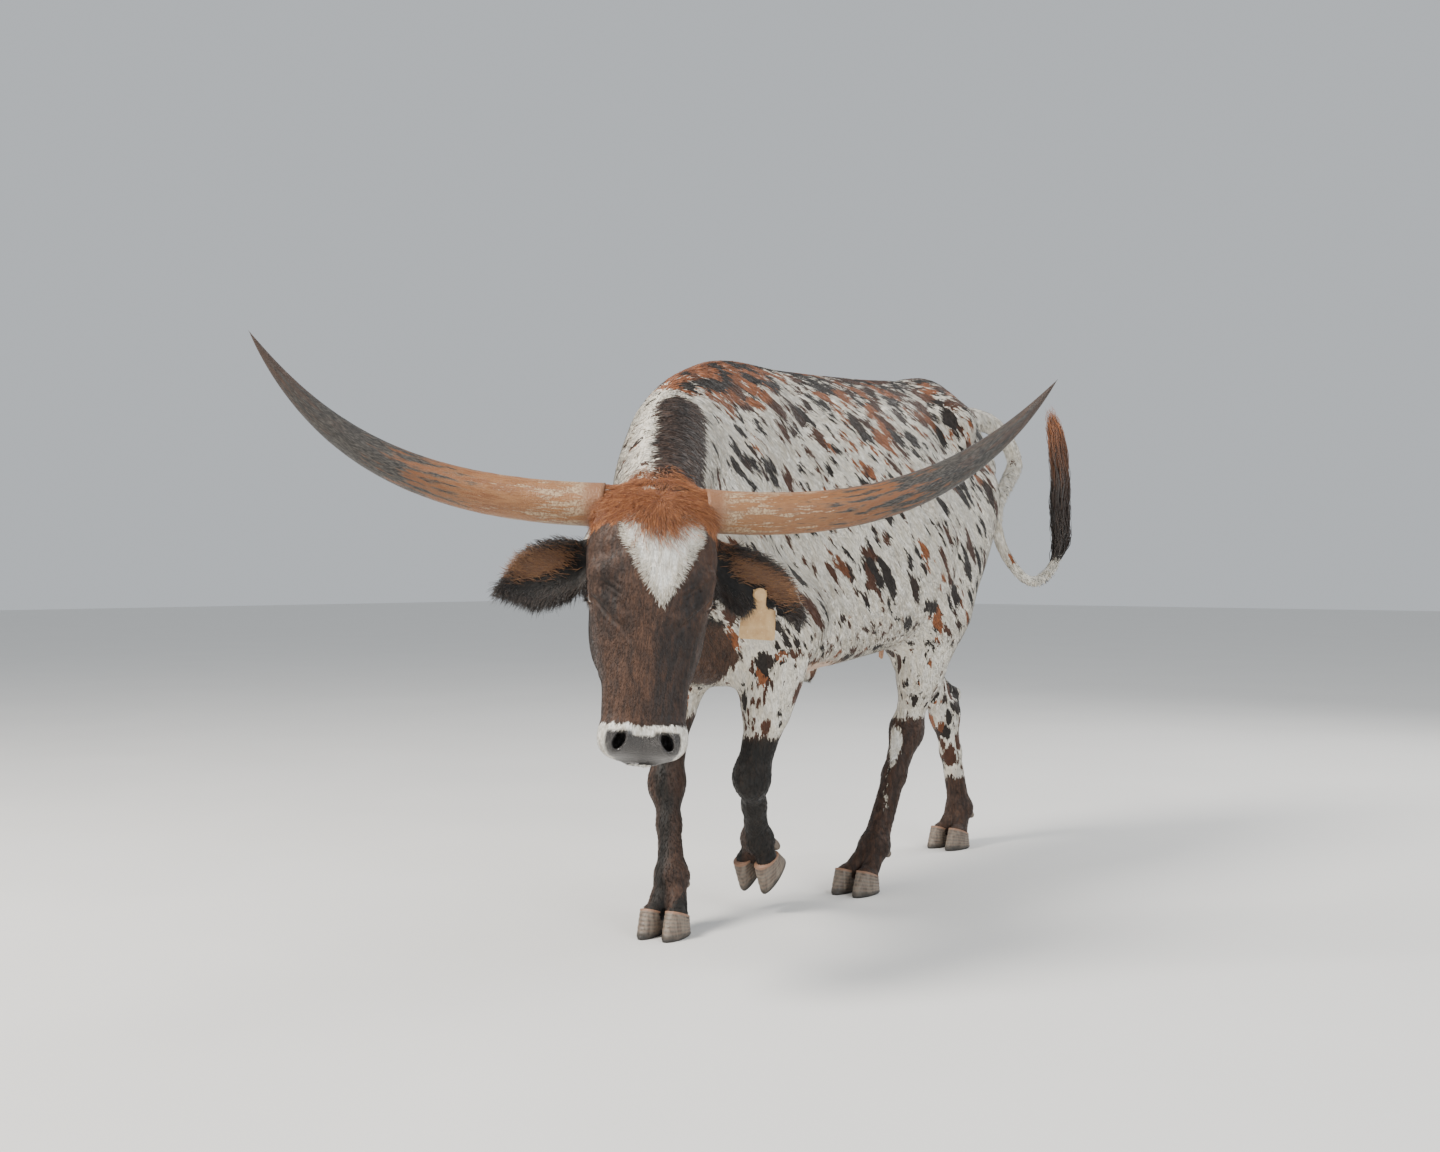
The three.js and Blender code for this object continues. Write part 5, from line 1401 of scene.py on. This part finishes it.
def horn_material():
    """Flaky cream at the base, then tan, then slate streaks, then a dark tip."""
    material, tree, shader = new_material("horn")
    place = read_field(tree, "place", "Vector")
    local = read_field(tree, "local", "Vector")
    share = add(tree, "ShaderNodeSeparateXYZ", {0: place}).outputs[0]
    dark = read_field(tree, "dark")
    drawn = vector_calc(tree, "MULTIPLY", {0: place, 1: (1.6, 0.6, 0.6)})
    streak = noise(tree, drawn, 9.0, 5, 0.62)
    fine = noise(tree, drawn, 42.0, 3, 0.6)
    grit = noise(tree, local, 220.0, 3, 0.6)
    at = plus(tree, share, times(tree, minus(tree, streak, 0.5), dark))
    tan = tones(tree, streak, 0.35, 0.65, (0.17, 0.062, 0.02), (0.29, 0.135, 0.052))
    cream = tones(tree, grit, 0.35, 0.65, (0.22, 0.12, 0.06), (0.46, 0.33, 0.2))
    made = tones(tree, at, 0.07, 0.13, cream, tan)
    made = tones(tree, share, 0.02, 0.055, (0.24, 0.11, 0.05), made)
    slate = tones(tree, fine, 0.4, 0.68, (0.012, 0.01, 0.009), (0.085, 0.076, 0.064))
    made = tones(tree, at, 0.28, 0.5, made, slate)
    tip = tones(tree, fine, 0.35, 0.7, (0.025, 0.014, 0.01), (0.09, 0.052, 0.034))
    made = tones(tree, at, 0.72, 0.92, made, tip)
    feed(tree, shader, {"Base Color": made, "Roughness": ramp(tree, grit, 0.25, 0.75, 0.34, 0.6)})
    flaky = times(tree, grit, ramp(tree, share, 0.13, 0.2, 1.6, 0.25))
    height = plus(tree, flaky, times(tree, fine, 0.8))
    feed(tree, shader, {"Normal": bump(tree, height, 0.0012)})
    feed(tree, shader, {"Specular IOR Level": 0.5})
    return material


def hoof_material():
    """Growth rings round the claw, paler below the coronet, and painted shade darkening it towards the
    sole.
    """
    material, tree, shader = new_material("hoof")
    place = read_field(tree, "place", "Vector")
    local = read_field(tree, "local", "Vector")
    share = add(tree, "ShaderNodeSeparateXYZ", {0: place}).outputs[0]
    streak = noise(tree, combed(tree, local, (0, 0, 0), 5), 130, 3)
    wander = noise(tree, local, 30, 3)
    rings = plus(tree, times(tree, share, 46), times(tree, wander, 5))
    rings = times(tree, plus(tree, calc(tree, "SINE", rings), 1), 0.5)
    made = tones(tree, streak, 0.3, 0.7, (0.085, 0.066, 0.052), (0.2, 0.17, 0.135))
    made = blend_colors(tree, times(tree, rings, 0.35), made, (0.3, 0.2, 0.14))
    # painted shade: the claw goes dark towards its sole, with an edge that wanders with the noise
    edge = plus(tree, share, times(tree, minus(tree, wander, 0.5), 0.3))
    made = tones(tree, edge, 0.05, 0.3, (0.03, 0.026, 0.022), made)
    made = tones(tree, share, 0.86, 0.98, made, (0.28, 0.15, 0.09))
    feed(tree, shader, {"Base Color": made, "Roughness": ramp(tree, streak, 0.2, 0.8, 0.42, 0.68)})
    height = plus(tree, rings, times(tree, streak, 0.8))
    feed(tree, shader, {"Normal": bump(tree, height, 0.0008)})
    return material


def eye_material():
    """Dark iris with a level oval pupil, brown white of the eye, and a wet front."""
    material, tree, shader = new_material("eye")
    look = add(tree, "ShaderNodeSeparateXYZ", {0: read_field(tree, "look", "Vector")}).outputs
    across = calc(tree, "DIVIDE", look[0], 0.42)
    high = calc(tree, "DIVIDE", look[1], 0.2)
    squares = plus(tree, calc(tree, "POWER", across, 2.0), calc(tree, "POWER", high, 2.0))
    pupil = calc(tree, "SQRT", squares)
    rays = noise(tree, read_field(tree, "look", "Vector"), 14, 4)
    iris = tones(tree, rays, 0.3, 0.7, (0.035, 0.014, 0.006), (0.09, 0.036, 0.014))
    made = tones(tree, pupil, 0.85, 1.1, (0.002, 0.002, 0.003), iris)
    ball = tones(tree, rays, 0.35, 0.65, (0.2, 0.12, 0.08), (0.38, 0.28, 0.2))
    made = tones(tree, look[2], 0.66, 0.74, ball, made)
    feed(tree, shader, {"Base Color": made, "Roughness": ramp(tree, rays, 0.2, 0.8, 0.06, 0.12)})
    feed(tree, shader, {"Coat Weight": 1.0, "Coat Roughness": 0.03})
    return material


def hair_material(name, dark, light, tip):
    """Long hair: a tone for each strand, and another colour towards the tip of the lock."""
    material, tree, shader = new_material(name)
    shade = read_field(tree, "shade")
    along = read_field(tree, "along")
    place = read_field(tree, "place", "Vector")
    clump = noise(tree, place, 60, 2)
    tone = plus(tree, times(tree, shade, 0.6), times(tree, clump, 0.4))
    made = tones(tree, tone, 0.15, 0.85, dark, light)
    made = blend_colors(tree, along, made, tip)
    feed(tree, shader, {"Base Color": made, "Roughness": ramp(tree, tone, 0.0, 1.0, 0.42, 0.62)})
    feed(tree, shader, {"Sheen Weight": 0.15})
    return material


def plastic_material():
    """Sun-faded tag plastic with fine scratches and a moulded grain."""
    material, tree, shader = new_material("tag_plastic")
    place = add(tree, "ShaderNodeTexCoord").outputs["Object"]
    cloud = noise(tree, place, 60, 4)
    grit = noise(tree, place, 900, 2)
    rub = noise(tree, combed(tree, place, (0.4, 0.3, 0), 9), 500, 2)
    made = tones(tree, cloud, 0.35, 0.7, (0.62, 0.4, 0.19), (0.5, 0.29, 0.12))
    made = tones(tree, rub, 0.62, 0.75, made, (0.72, 0.56, 0.36))
    feed(tree, shader, {"Base Color": made, "Roughness": ramp(tree, rub, 0.3, 0.7, 0.38, 0.6)})
    feed(tree, shader, {"Normal": bump(tree, plus(tree, grit, rub), 0.0002)})
    return material


def floor_material():
    """A plain pale floor with faint clouding."""
    material, tree, shader = new_material("pale_floor")
    place = add(tree, "ShaderNodeTexCoord").outputs["Object"]
    cloud = noise(tree, place, 1.5, 3)
    made = blend_colors(tree, cloud, (0.74, 0.73, 0.71), (0.79, 0.78, 0.76))
    feed(tree, shader, {"Base Color": made, "Roughness": ramp(tree, cloud, 0.2, 0.8, 0.75, 0.9)})
    return material


HIDE = coat_material("hide", 0.0016)
COAT_HAIR = coat_material("coat_hair", 0.0008, 0.7)
HORN = horn_material()
HOOF = hoof_material()
EYE_MATERIAL = eye_material()
PLASTIC = plastic_material()

# Long hair's tones, dark and light, and the colour of its tips
HAIR_TONES = {
    "poll_hair": ((0.2, 0.055, 0.016), (0.5, 0.2, 0.07), (0.56, 0.25, 0.1)),
    "black_hair": ((0.006, 0.004, 0.003), (0.035, 0.02, 0.012), (0.05, 0.025, 0.014)),
    "ear_hair": ((0.16, 0.06, 0.02), (0.42, 0.2, 0.075), (0.05, 0.022, 0.01)),
    "heart_hair": ((0.5, 0.44, 0.34), (0.84, 0.8, 0.72), (0.8, 0.76, 0.68)),
    "brush_hair": ((0.008, 0.005, 0.004), (0.04, 0.022, 0.014), (0.34, 0.12, 0.04)),
}
HAIRS = [hair_material(name, *tones_of) for name, tones_of in HAIR_TONES.items()]
RUST_HAIR, BLACK_HAIR, EAR_HAIR, PALE_HAIR, BRUSH_HAIR = HAIRS

# Skin

fine = 3.6
xs = spread(-330, 600, [(90, 565, fine), (-330, 600, 8.5)])
ys = spread(-780, 1400, [(-780, -285, fine), (-285, 1400, 9.0)])
zs = spread(-8, 1340, [(395, 1005, fine), (-8, 1340, 8.5)])
skin_verts, skin_quads = surface(skin_form, xs, ys, zs)
skin_verts = relax(skin_verts, skin_quads, 2)
skin_normals = slope_of(skin_form, skin_verts)
skin_verts = skin_verts - skin_normals * skin_form(skin_verts)[:, None] * 0.9


def field_rows(p):
    """The coat's fields for many points, a share at a time."""
    parts = [coat_fields(part) for part in np.array_split(p, len(p) // 60000 + 1)]
    return {key: np.concatenate([part[key] for part in parts]) for key in parts[0]}


skin_fields = field_rows(skin_verts)
skin_fields["shade"] = np.full(len(skin_verts), 0.45)

FLESH_NODES = ["torso", "neck", "head", "ear_left", "ear_right", "udder", "tail"]
FLESH_NODES += [f"{leg}_{side}" for leg in ("foreleg", "hindleg") for side in ("left", "right")]
make_piece("skin", skin_verts, skin_quads, HIDE, FLESH_NODES, skin_fields)

# Coat: tufts rooted in the skin, laid along the body

corners = skin_verts[skin_quads]
quad_middle = corners.mean(1)
quad_normal = skin_normals[skin_quads].mean(1)
diagonals = corners[:, 2] - corners[:, 0], corners[:, 3] - corners[:, 1]
quad_area = np.linalg.norm(np.cross(*diagonals), axis=1) / 2
quad_fields = {key: value[skin_quads].mean(1) for key, value in skin_fields.items()}
quad_head = to_head(quad_middle)
qu, qv, qw = quad_head.T
quad_ear = smooth(24, 8, ears(quad_head))

few = 1.0


def roots_on_skin(count, wanted):
    """Points strewn over the skin, as many on each face as its size and share wanted say."""
    weight = quad_area * wanted
    pick = rng.choice(len(weight), count, p=weight / weight.sum())
    s, t = rng.uniform(0, 1, (2, count, 1))
    shares = ((1 - s) * (1 - t), s * (1 - t), s * t, (1 - s) * t)
    point = sum(share * skin_verts[skin_quads[pick, k]] for k, share in enumerate(shares))
    normal = sum(share * skin_normals[skin_quads[pick, k]] for k, share in enumerate(shares))
    return point, unit(normal)


def along_skin(way, normal):
    return unit(way - normal * np.sum(way * normal, axis=1, keepdims=True))


def lie_of_coat(p):
    """Which way the hair points: back and down the trunk, down the legs, down and off the face."""
    q = to_head(p)
    across = q[:, 0]
    level = np.ones(len(p))
    trunk_way = np.stack((p[:, 0] * 0.001, level * 0.6, level * -0.8), 1)
    leg_way = np.array((0, 0.12, -1.0))
    leg_share = smooth(700, 560, p[:, 2])[:, None]
    way = trunk_way * (1 - leg_share) + leg_way * leg_share
    face_way = np.stack((across * 0.006, -level, -np.abs(across) * 0.004), 1) @ HEAD
    bone = skull(q)
    near = smooth(40, 8, bone)[:, None]
    way = way * (1 - near) + face_way * near
    for spec in EARS.values():
        root, run = np.array(spec["root"]), np.array(spec["run"])
        near = smooth(70, 30, segment(q, root + run * 0.1, root + run)) * smooth(20, 45, bone)
        way = way * (1 - near[:, None]) + along_head(run) * near[:, None]
    return way


def grow_coat(name, count, wanted, long, wide, thick, lift):
    """Tufts over part of the coat, each with its root's colours and place."""
    root, normal = roots_on_skin(count, wanted)
    lie = along_skin(lie_of_coat(root) + rng.normal(0, 0.1, (count, 3)), normal)
    size = rng.uniform(0.75, 1.25, count)
    sizes = long * size, wide * size, thick, SUNK, lift * size
    verts, faces, spread_uv = leaf_tufts(root, lie, normal, *sizes)
    fields = {key: np.repeat(value, 4, 0) for key, value in field_rows(root).items()}
    fields.update(hair_fields(root, spread_uv, 4, rng.uniform(0, 1, count)))
    fields["out"] = np.repeat(normal, 4, 0)
    make_piece(name, verts, faces, COAT_HAIR, (), fields)


def coats():
    """The coat in its pieces, none on the bare skin, round the eyes or behind the tag."""
    bare = smooth(8, -8, np.maximum(quad_fields["bare"], quad_fields["pad"]))
    haired = bare * smooth(27, 33, np.linalg.norm(both_sides(quad_head) - EYE, axis=1))
    face, legs_here = quad_fields["face"], quad_fields["legs"]
    trunk_part = (1 - face) * (1 - legs_here) * haired
    leg_part = legs_here * (1 - face) * haired * smooth(20, 60, quad_middle[:, 2])
    face_part = face * haired * (1 - quad_ear)
    ear_part = quad_ear * (at_tag(quad_head, 3) > 0)
    # tufts, where they grow, and their length, width, thickness and lift
    rows = {f"coat_trunk_{number}": (42000, trunk_part, 17, 2.4, 0.3, 0.9) for number in (1, 2, 3)}
    rows["coat_legs"] = (30000, leg_part, 10, 1.9, 0.3, 0.7)
    rows["coat_face"] = (42000, face_part, 6, 0.9, 0.15, 0.3)
    rows["coat_ears"] = (10000, ear_part, 10, 1.4, 0.3, 1.0)
    for name, (count, *settings) in rows.items():
        grow_coat(name, int(count * few), *settings)


def grow_locks(name, root, normal, way, long, rise, wide, material, along=0.0, sag=0.0):
    """Long hair from roots: up off the skin along the normal, then over into its way."""
    t = np.linspace(0, 1, 4)[None, :, None]
    lie = along_skin(way, normal)[:, None]
    out = normal[:, None]
    arch = out * rise[:, None, None] * np.sin(np.pi * t * 0.62)
    lines = root[:, None] - out * 1.5 + lie * long[:, None, None] * t + arch
    lines = lines + np.array((0, 0, -1.0)) * sag * t**2
    count = len(root)
    normals = np.broadcast_to(out, lines.shape)
    widths = wide * rng.uniform(0.7, 1.3, count)
    verts, faces, uv = strand_hair(lines, normals, widths, wide * 0.4 * np.ones(count))
    fields = hair_fields(root, uv, len(uv), rng.uniform(0, 1, count))
    fields["along"] = np.tile((uv[:, 1] + 1) / 2 * along, count)
    make_piece(name, verts, faces, material, (), fields)


def strew_locks(name, count, wanted, heading, loose, long, rise, wide, material, **bent):
    """Long hair where it is wanted, each lock along heading of its root, in the head's axes."""
    root, normal = roots_on_skin(int(count * few), wanted + 1e-12)
    way = heading(to_head(root)) + np.zeros_like(root)
    way = (way + rng.normal(0, loose, way.shape)) @ HEAD
    long = rng.uniform(*long, len(root))
    rise = rng.uniform(*rise, len(root))
    grow_locks(name, root, normal, way, long, rise, wide, material, **bent)


def poll_hairs():
    """Rust hair of the poll, the whorl that hangs over the heart, and the heart's pale rim."""
    near_heart = heart(quad_head)
    wanted = smooth(-78, -50, qv - 0.0006 * qu * qu)
    wanted = wanted * (quad_fields["face"] + smooth(70, 30, skull(quad_head)))
    wanted = np.minimum(wanted, 1) * smooth(-120, -60, qw)
    wanted = wanted * smooth(-14, -4, -np.maximum(near_heart, -30))

    def off_poll(q):
        flat = np.zeros(len(q))
        return np.stack((q[:, 0] * 0.02, np.where(q[:, 1] > -30, -0.4, -1), 0.25 + flat), 1)

    strew_locks("poll_hair", 9500, wanted, off_poll, 0.28, (16, 30), (3, 7), 0.9, RUST_HAIR)
    wanted = np.exp(-(((qu - 12) / 34) ** 2 + ((qv + 52) / 34) ** 2)) * (qw > 30)

    def whirled(q):
        flat = np.zeros(len(q))
        out = unit(np.stack((q[:, 0] - 10, q[:, 1] + 22, flat), 1))
        return out + (0, -0.75, 0.2) + np.stack((-(q[:, 1] + 30), q[:, 0] - 10, flat), 1) * 0.006

    strew_locks("whorl", 2200, wanted, whirled, 0.2, (20, 32), (6, 13), 0.9, RUST_HAIR)
    wanted = np.exp(-(((near_heart - 3) / 6) ** 2)) * (qw > 30) * (near_heart > -3)

    def fanned(q):
        flat = np.zeros(len(q))
        return unit(np.stack((q[:, 0] - 16, (q[:, 1] + 150) * 0.6 - 18, flat), 1))

    strew_locks("heart_hair", 2600, wanted, fanned, 0.15, (9, 17), (1.5, 3.5), 1.1, PALE_HAIR)


def horn_collar(name, side):
    """The collar of hair that lies out along the horn from its root."""
    start = horn_line(name, side, 0.0)
    ahead = unit(horn_line(name, side, 0.08) - start)
    near = np.linalg.norm(np.cross(quad_head - start, ahead), axis=1)
    far = (quad_head - start) @ ahead
    wanted = smooth(66, 44, near) * smooth(-30, 0, far) * (far < 60) * (qu * side > 60)
    name = f"horn_collar_{name}"
    strew_locks(name, 3600, wanted, lambda q: ahead, 0.22, (28, 46), (3, 6), 1.0, RUST_HAIR)


def ear_hairs(name, side):
    """Black fringe of an ear's rims and tip, fullest below, and the hair inside its cup."""
    root, run = np.array(EARS[name]["root"], float), unit(EARS[name]["run"])
    face_way = unit(np.array((0, 0, 1.0)) - run * run[2])
    across = np.cross(run, face_way)
    long = np.linalg.norm(EARS[name]["run"])
    at = quad_head - root
    share, rim = at @ run / long, at @ across
    low_side = np.sign((np.array((0, 0, -1.0)) @ HEAD.T) @ across)
    on_ear = quad_ear > 0.5
    outer = np.exp(-(((np.abs(rim) - 44) / 14) ** 2)) * on_ear * (share > 0.1)
    outer = outer * np.where(rim * low_side > 0, 1.0, 0.45) + 1.2 * on_ear * smooth(0.8, 0.95, share)
    outer = outer * ~((at_tag(quad_head, 12) < 0) & (side > 0))

    def off_rim(q):
        q = q - root
        return unit(across * (q @ across)[:, None] * 0.03 + run * (0.5 + (q @ run)[:, None] / long))

    label = f"ear_fringe_{name}"
    strew_locks(label, 3600, outer, off_rim, 0.18, (18, 36), (2, 6), 1.2, BLACK_HAIR, sag=9.0)
    facing = (quad_normal @ HEAD.T) @ face_way
    cup = np.exp(-(((rim + low_side * 14) / 16) ** 2) - ((share - 0.6) / 0.26) ** 2)
    inner = on_ear * (facing > 0.1) * cup
    inner = inner * ~((at_tag(quad_head + (16, 0, 0), 10) < 0) & (side > 0))
    over = run * 0.8 - across * low_side * 0.5 + face_way * 0.3
    label = f"ear_hair_{name}"
    strew_locks(label, 1800, inner, lambda q: over, 0.25, (20, 34), (4, 9), 1.2, EAR_HAIR, along=0.6)


def lashes(name, side):
    """Lashes along the upper lid."""
    corner, up, out = eye_axes()
    count = 130
    turn = rng.uniform(0.12, np.pi - 0.12, count)
    x = 18 * np.cos(turn)
    y = 5.5 * np.sin(turn) + rng.uniform(0, 2, count)
    deep = np.sqrt((EYE_RADIUS + 3.0) ** 2 - x**2 - y**2)
    root = (EYE + x[:, None] * corner + y[:, None] * up + deep[:, None] * out) * (side, 1, 1)
    way = unit(out * 0.9 - up * 0.35 + x[:, None] / 30 * corner) * (side, 1, 1)
    normal = np.broadcast_to((up * (side, 1, 1)) @ HEAD, root.shape)
    way = (way + rng.normal(0, 0.08, way.shape)) @ HEAD
    long = rng.uniform(11, 17, count)
    rise = np.full(count, 2.5)
    grow_locks(f"lashes_{name}", on_head(root), normal, way, long, rise, 0.8, BLACK_HAIR)


SIDES = {"left": 1, "right": -1}
coats()
poll_hairs()
for name, side in SIDES.items():
    horn_collar(name, side)
    ear_hairs(name, side)
    lashes(name, side)


def foot(kind, name, leg, side):
    """Both claws and both dewclaws of a foot of the left (side 1) or right (-1)."""
    for s in (1, -1):
        label = f"{kind}_{name}_{'outer' if s == -side else 'inner'}"
        claws = {"hoof": ("claw", claw(leg, s)), "dew": ("dewclaw", dewclaw(leg, -s))}
        for piece, (node, (verts, faces, place)) in claws.items():
            fields = {"place": place, "local": placed(verts)}
            make_piece(f"{piece}_{label}", verts, faces, HOOF, [f"{node}_{label}"], fields)


# How far down the horn the slate streaks reach
HORN_DARK = {"left": 1.5, "right": 1.0}
for name, side in SIDES.items():
    verts, faces, place = horn(name, side)
    dark = np.full(len(verts), HORN_DARK[name])
    fields = {"place": place, "local": placed(verts), "dark": dark}
    make_piece(f"horn_shell_{name}", verts, faces, HORN, [f"horn_{name}"], fields)
    verts, faces, look = eyeball(side)
    make_piece(f"eyeball_{name}", verts, faces, EYE_MATERIAL, [f"eye_{name}"], {"look": look})
    foot("foreleg", name, FORELEGS[name], side)
    foot("hindleg", name, HINDLEGS[name], side)


def tail_brush():
    """The tail's brush: strands from all along the first half of its line, full in the middle."""
    points = 120
    brush_line = catmull(BRUSH_LINE, points)
    count, steps = 700, 12
    start = rng.uniform(0, 0.55, count) ** 0.9
    end = np.minimum(start + rng.uniform(0.3, 0.45, count), rng.uniform(0.88, 1.0, count))
    t = np.linspace(0, 1, steps)
    share = start[:, None] + (end - start)[:, None] * t
    index = share * (points - 1)
    low = np.minimum(index.astype(int), points - 2)
    spot = brush_line[low] + (brush_line[low + 1] - brush_line[low]) * (index - low)[..., None]
    _, u, v = frames_along(brush_line, (0, 1, 0.3))
    turn = rng.uniform(0, 2 * np.pi, count)[:, None, None]
    hull = 14 * np.sin(np.pi * np.clip(share * 1.15, 0, 1)) + 3
    open_out = (12 * np.sin(np.pi * np.minimum(t * 0.8, 1)))[None]
    out = hull + open_out * rng.uniform(0.1, 1.1, count)[:, None]
    way = np.cos(turn) * u[low] + np.sin(turn) * v[low]
    phase = rng.uniform(0, 6, count)
    sway = 7 * np.sin(share * 40 + phase[:, None]) * t
    lines = spot + way * out[..., None] + np.stack((sway * 0.6, sway, np.zeros_like(sway)), -1)
    wide = rng.uniform(2, 4.5, count)
    verts, faces, uv = strand_hair(lines, way, wide, rng.uniform(1, 2, count))
    fields = hair_fields(lines[:, 0], uv, len(uv), rng.uniform(0, 1, count))
    halfway = (share[:, 0] + share[:, -1]) * 0.5
    fields["along"] = np.repeat(smooth(0.5, 0.85, halfway), len(uv))
    make_piece("tail_brush", verts, faces, BRUSH_HAIR, ["tail_switch"], fields)


tail_brush()
for node in ("ear_tag_plate", "ear_tag_stud"):
    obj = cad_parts[node]
    obj.data.materials.clear()
    obj.data.materials.append(PLASTIC)

# Floor, lights and camera


def stage_floor():
    mesh = bpy.data.meshes.new("floor")
    r = 30.0
    mesh.from_pydata([(-r, -r, 0), (r, -r, 0), (r, r, 0), (-r, r, 0)], [], [(0, 1, 2, 3)])
    mesh.materials.append(floor_material())
    obj = bpy.data.objects.new("floor", mesh)
    bpy.context.scene.collection.objects.link(obj)


def soft_light(name, at, towards, size, power, tint):
    """A round soft light, turned to shine from one point towards another."""
    data = bpy.data.lights.new(name, "AREA")
    data.shape = "DISK"
    data.size = size
    data.energy = power
    data.color = tint
    obj = bpy.data.objects.new(name, data)
    obj.location = at
    way = np.array(at) - np.array(towards)
    turn = np.arctan2(way[0], -way[1])
    tilt = np.arctan2(np.hypot(way[0], way[1]), way[2])
    obj.rotation_euler = (tilt, 0, turn)
    bpy.context.scene.collection.objects.link(obj)


stage_floor()
world = bpy.data.worlds.new("studio")
world.use_nodes = True
sky = world.node_tree.nodes["Background"].inputs
sky["Color"].default_value = (0.9, 0.95, 1.0, 1)
sky["Strength"].default_value = 0.62
bpy.context.scene.world = world

soft_light("key", (-1.6, -4.2, 5.0), (0, 0, 0.8), 2.2, 620, (1, 0.95, 0.88))
soft_light("fill", (4.5, -1.0, 2.5), (0, 0, 0.8), 3.0, 120, (0.93, 0.97, 1))
soft_light("back", (0.5, 4.5, 3.5), (0, 0, 0.9), 2.5, 150, (1, 0.98, 0.95))

camera = bpy.data.cameras.new("camera")
camera.lens = 37.5
camera.sensor_width = 36.0
eye = bpy.data.objects.new("camera", camera)
eye.location = np.array((2.27, -2.59, 0.80)) + SHIFT
eye.rotation_euler = (np.radians(90 - 0.149), 0, np.radians(41.2))
bpy.context.scene.collection.objects.link(eye)
bpy.context.scene.camera = eye
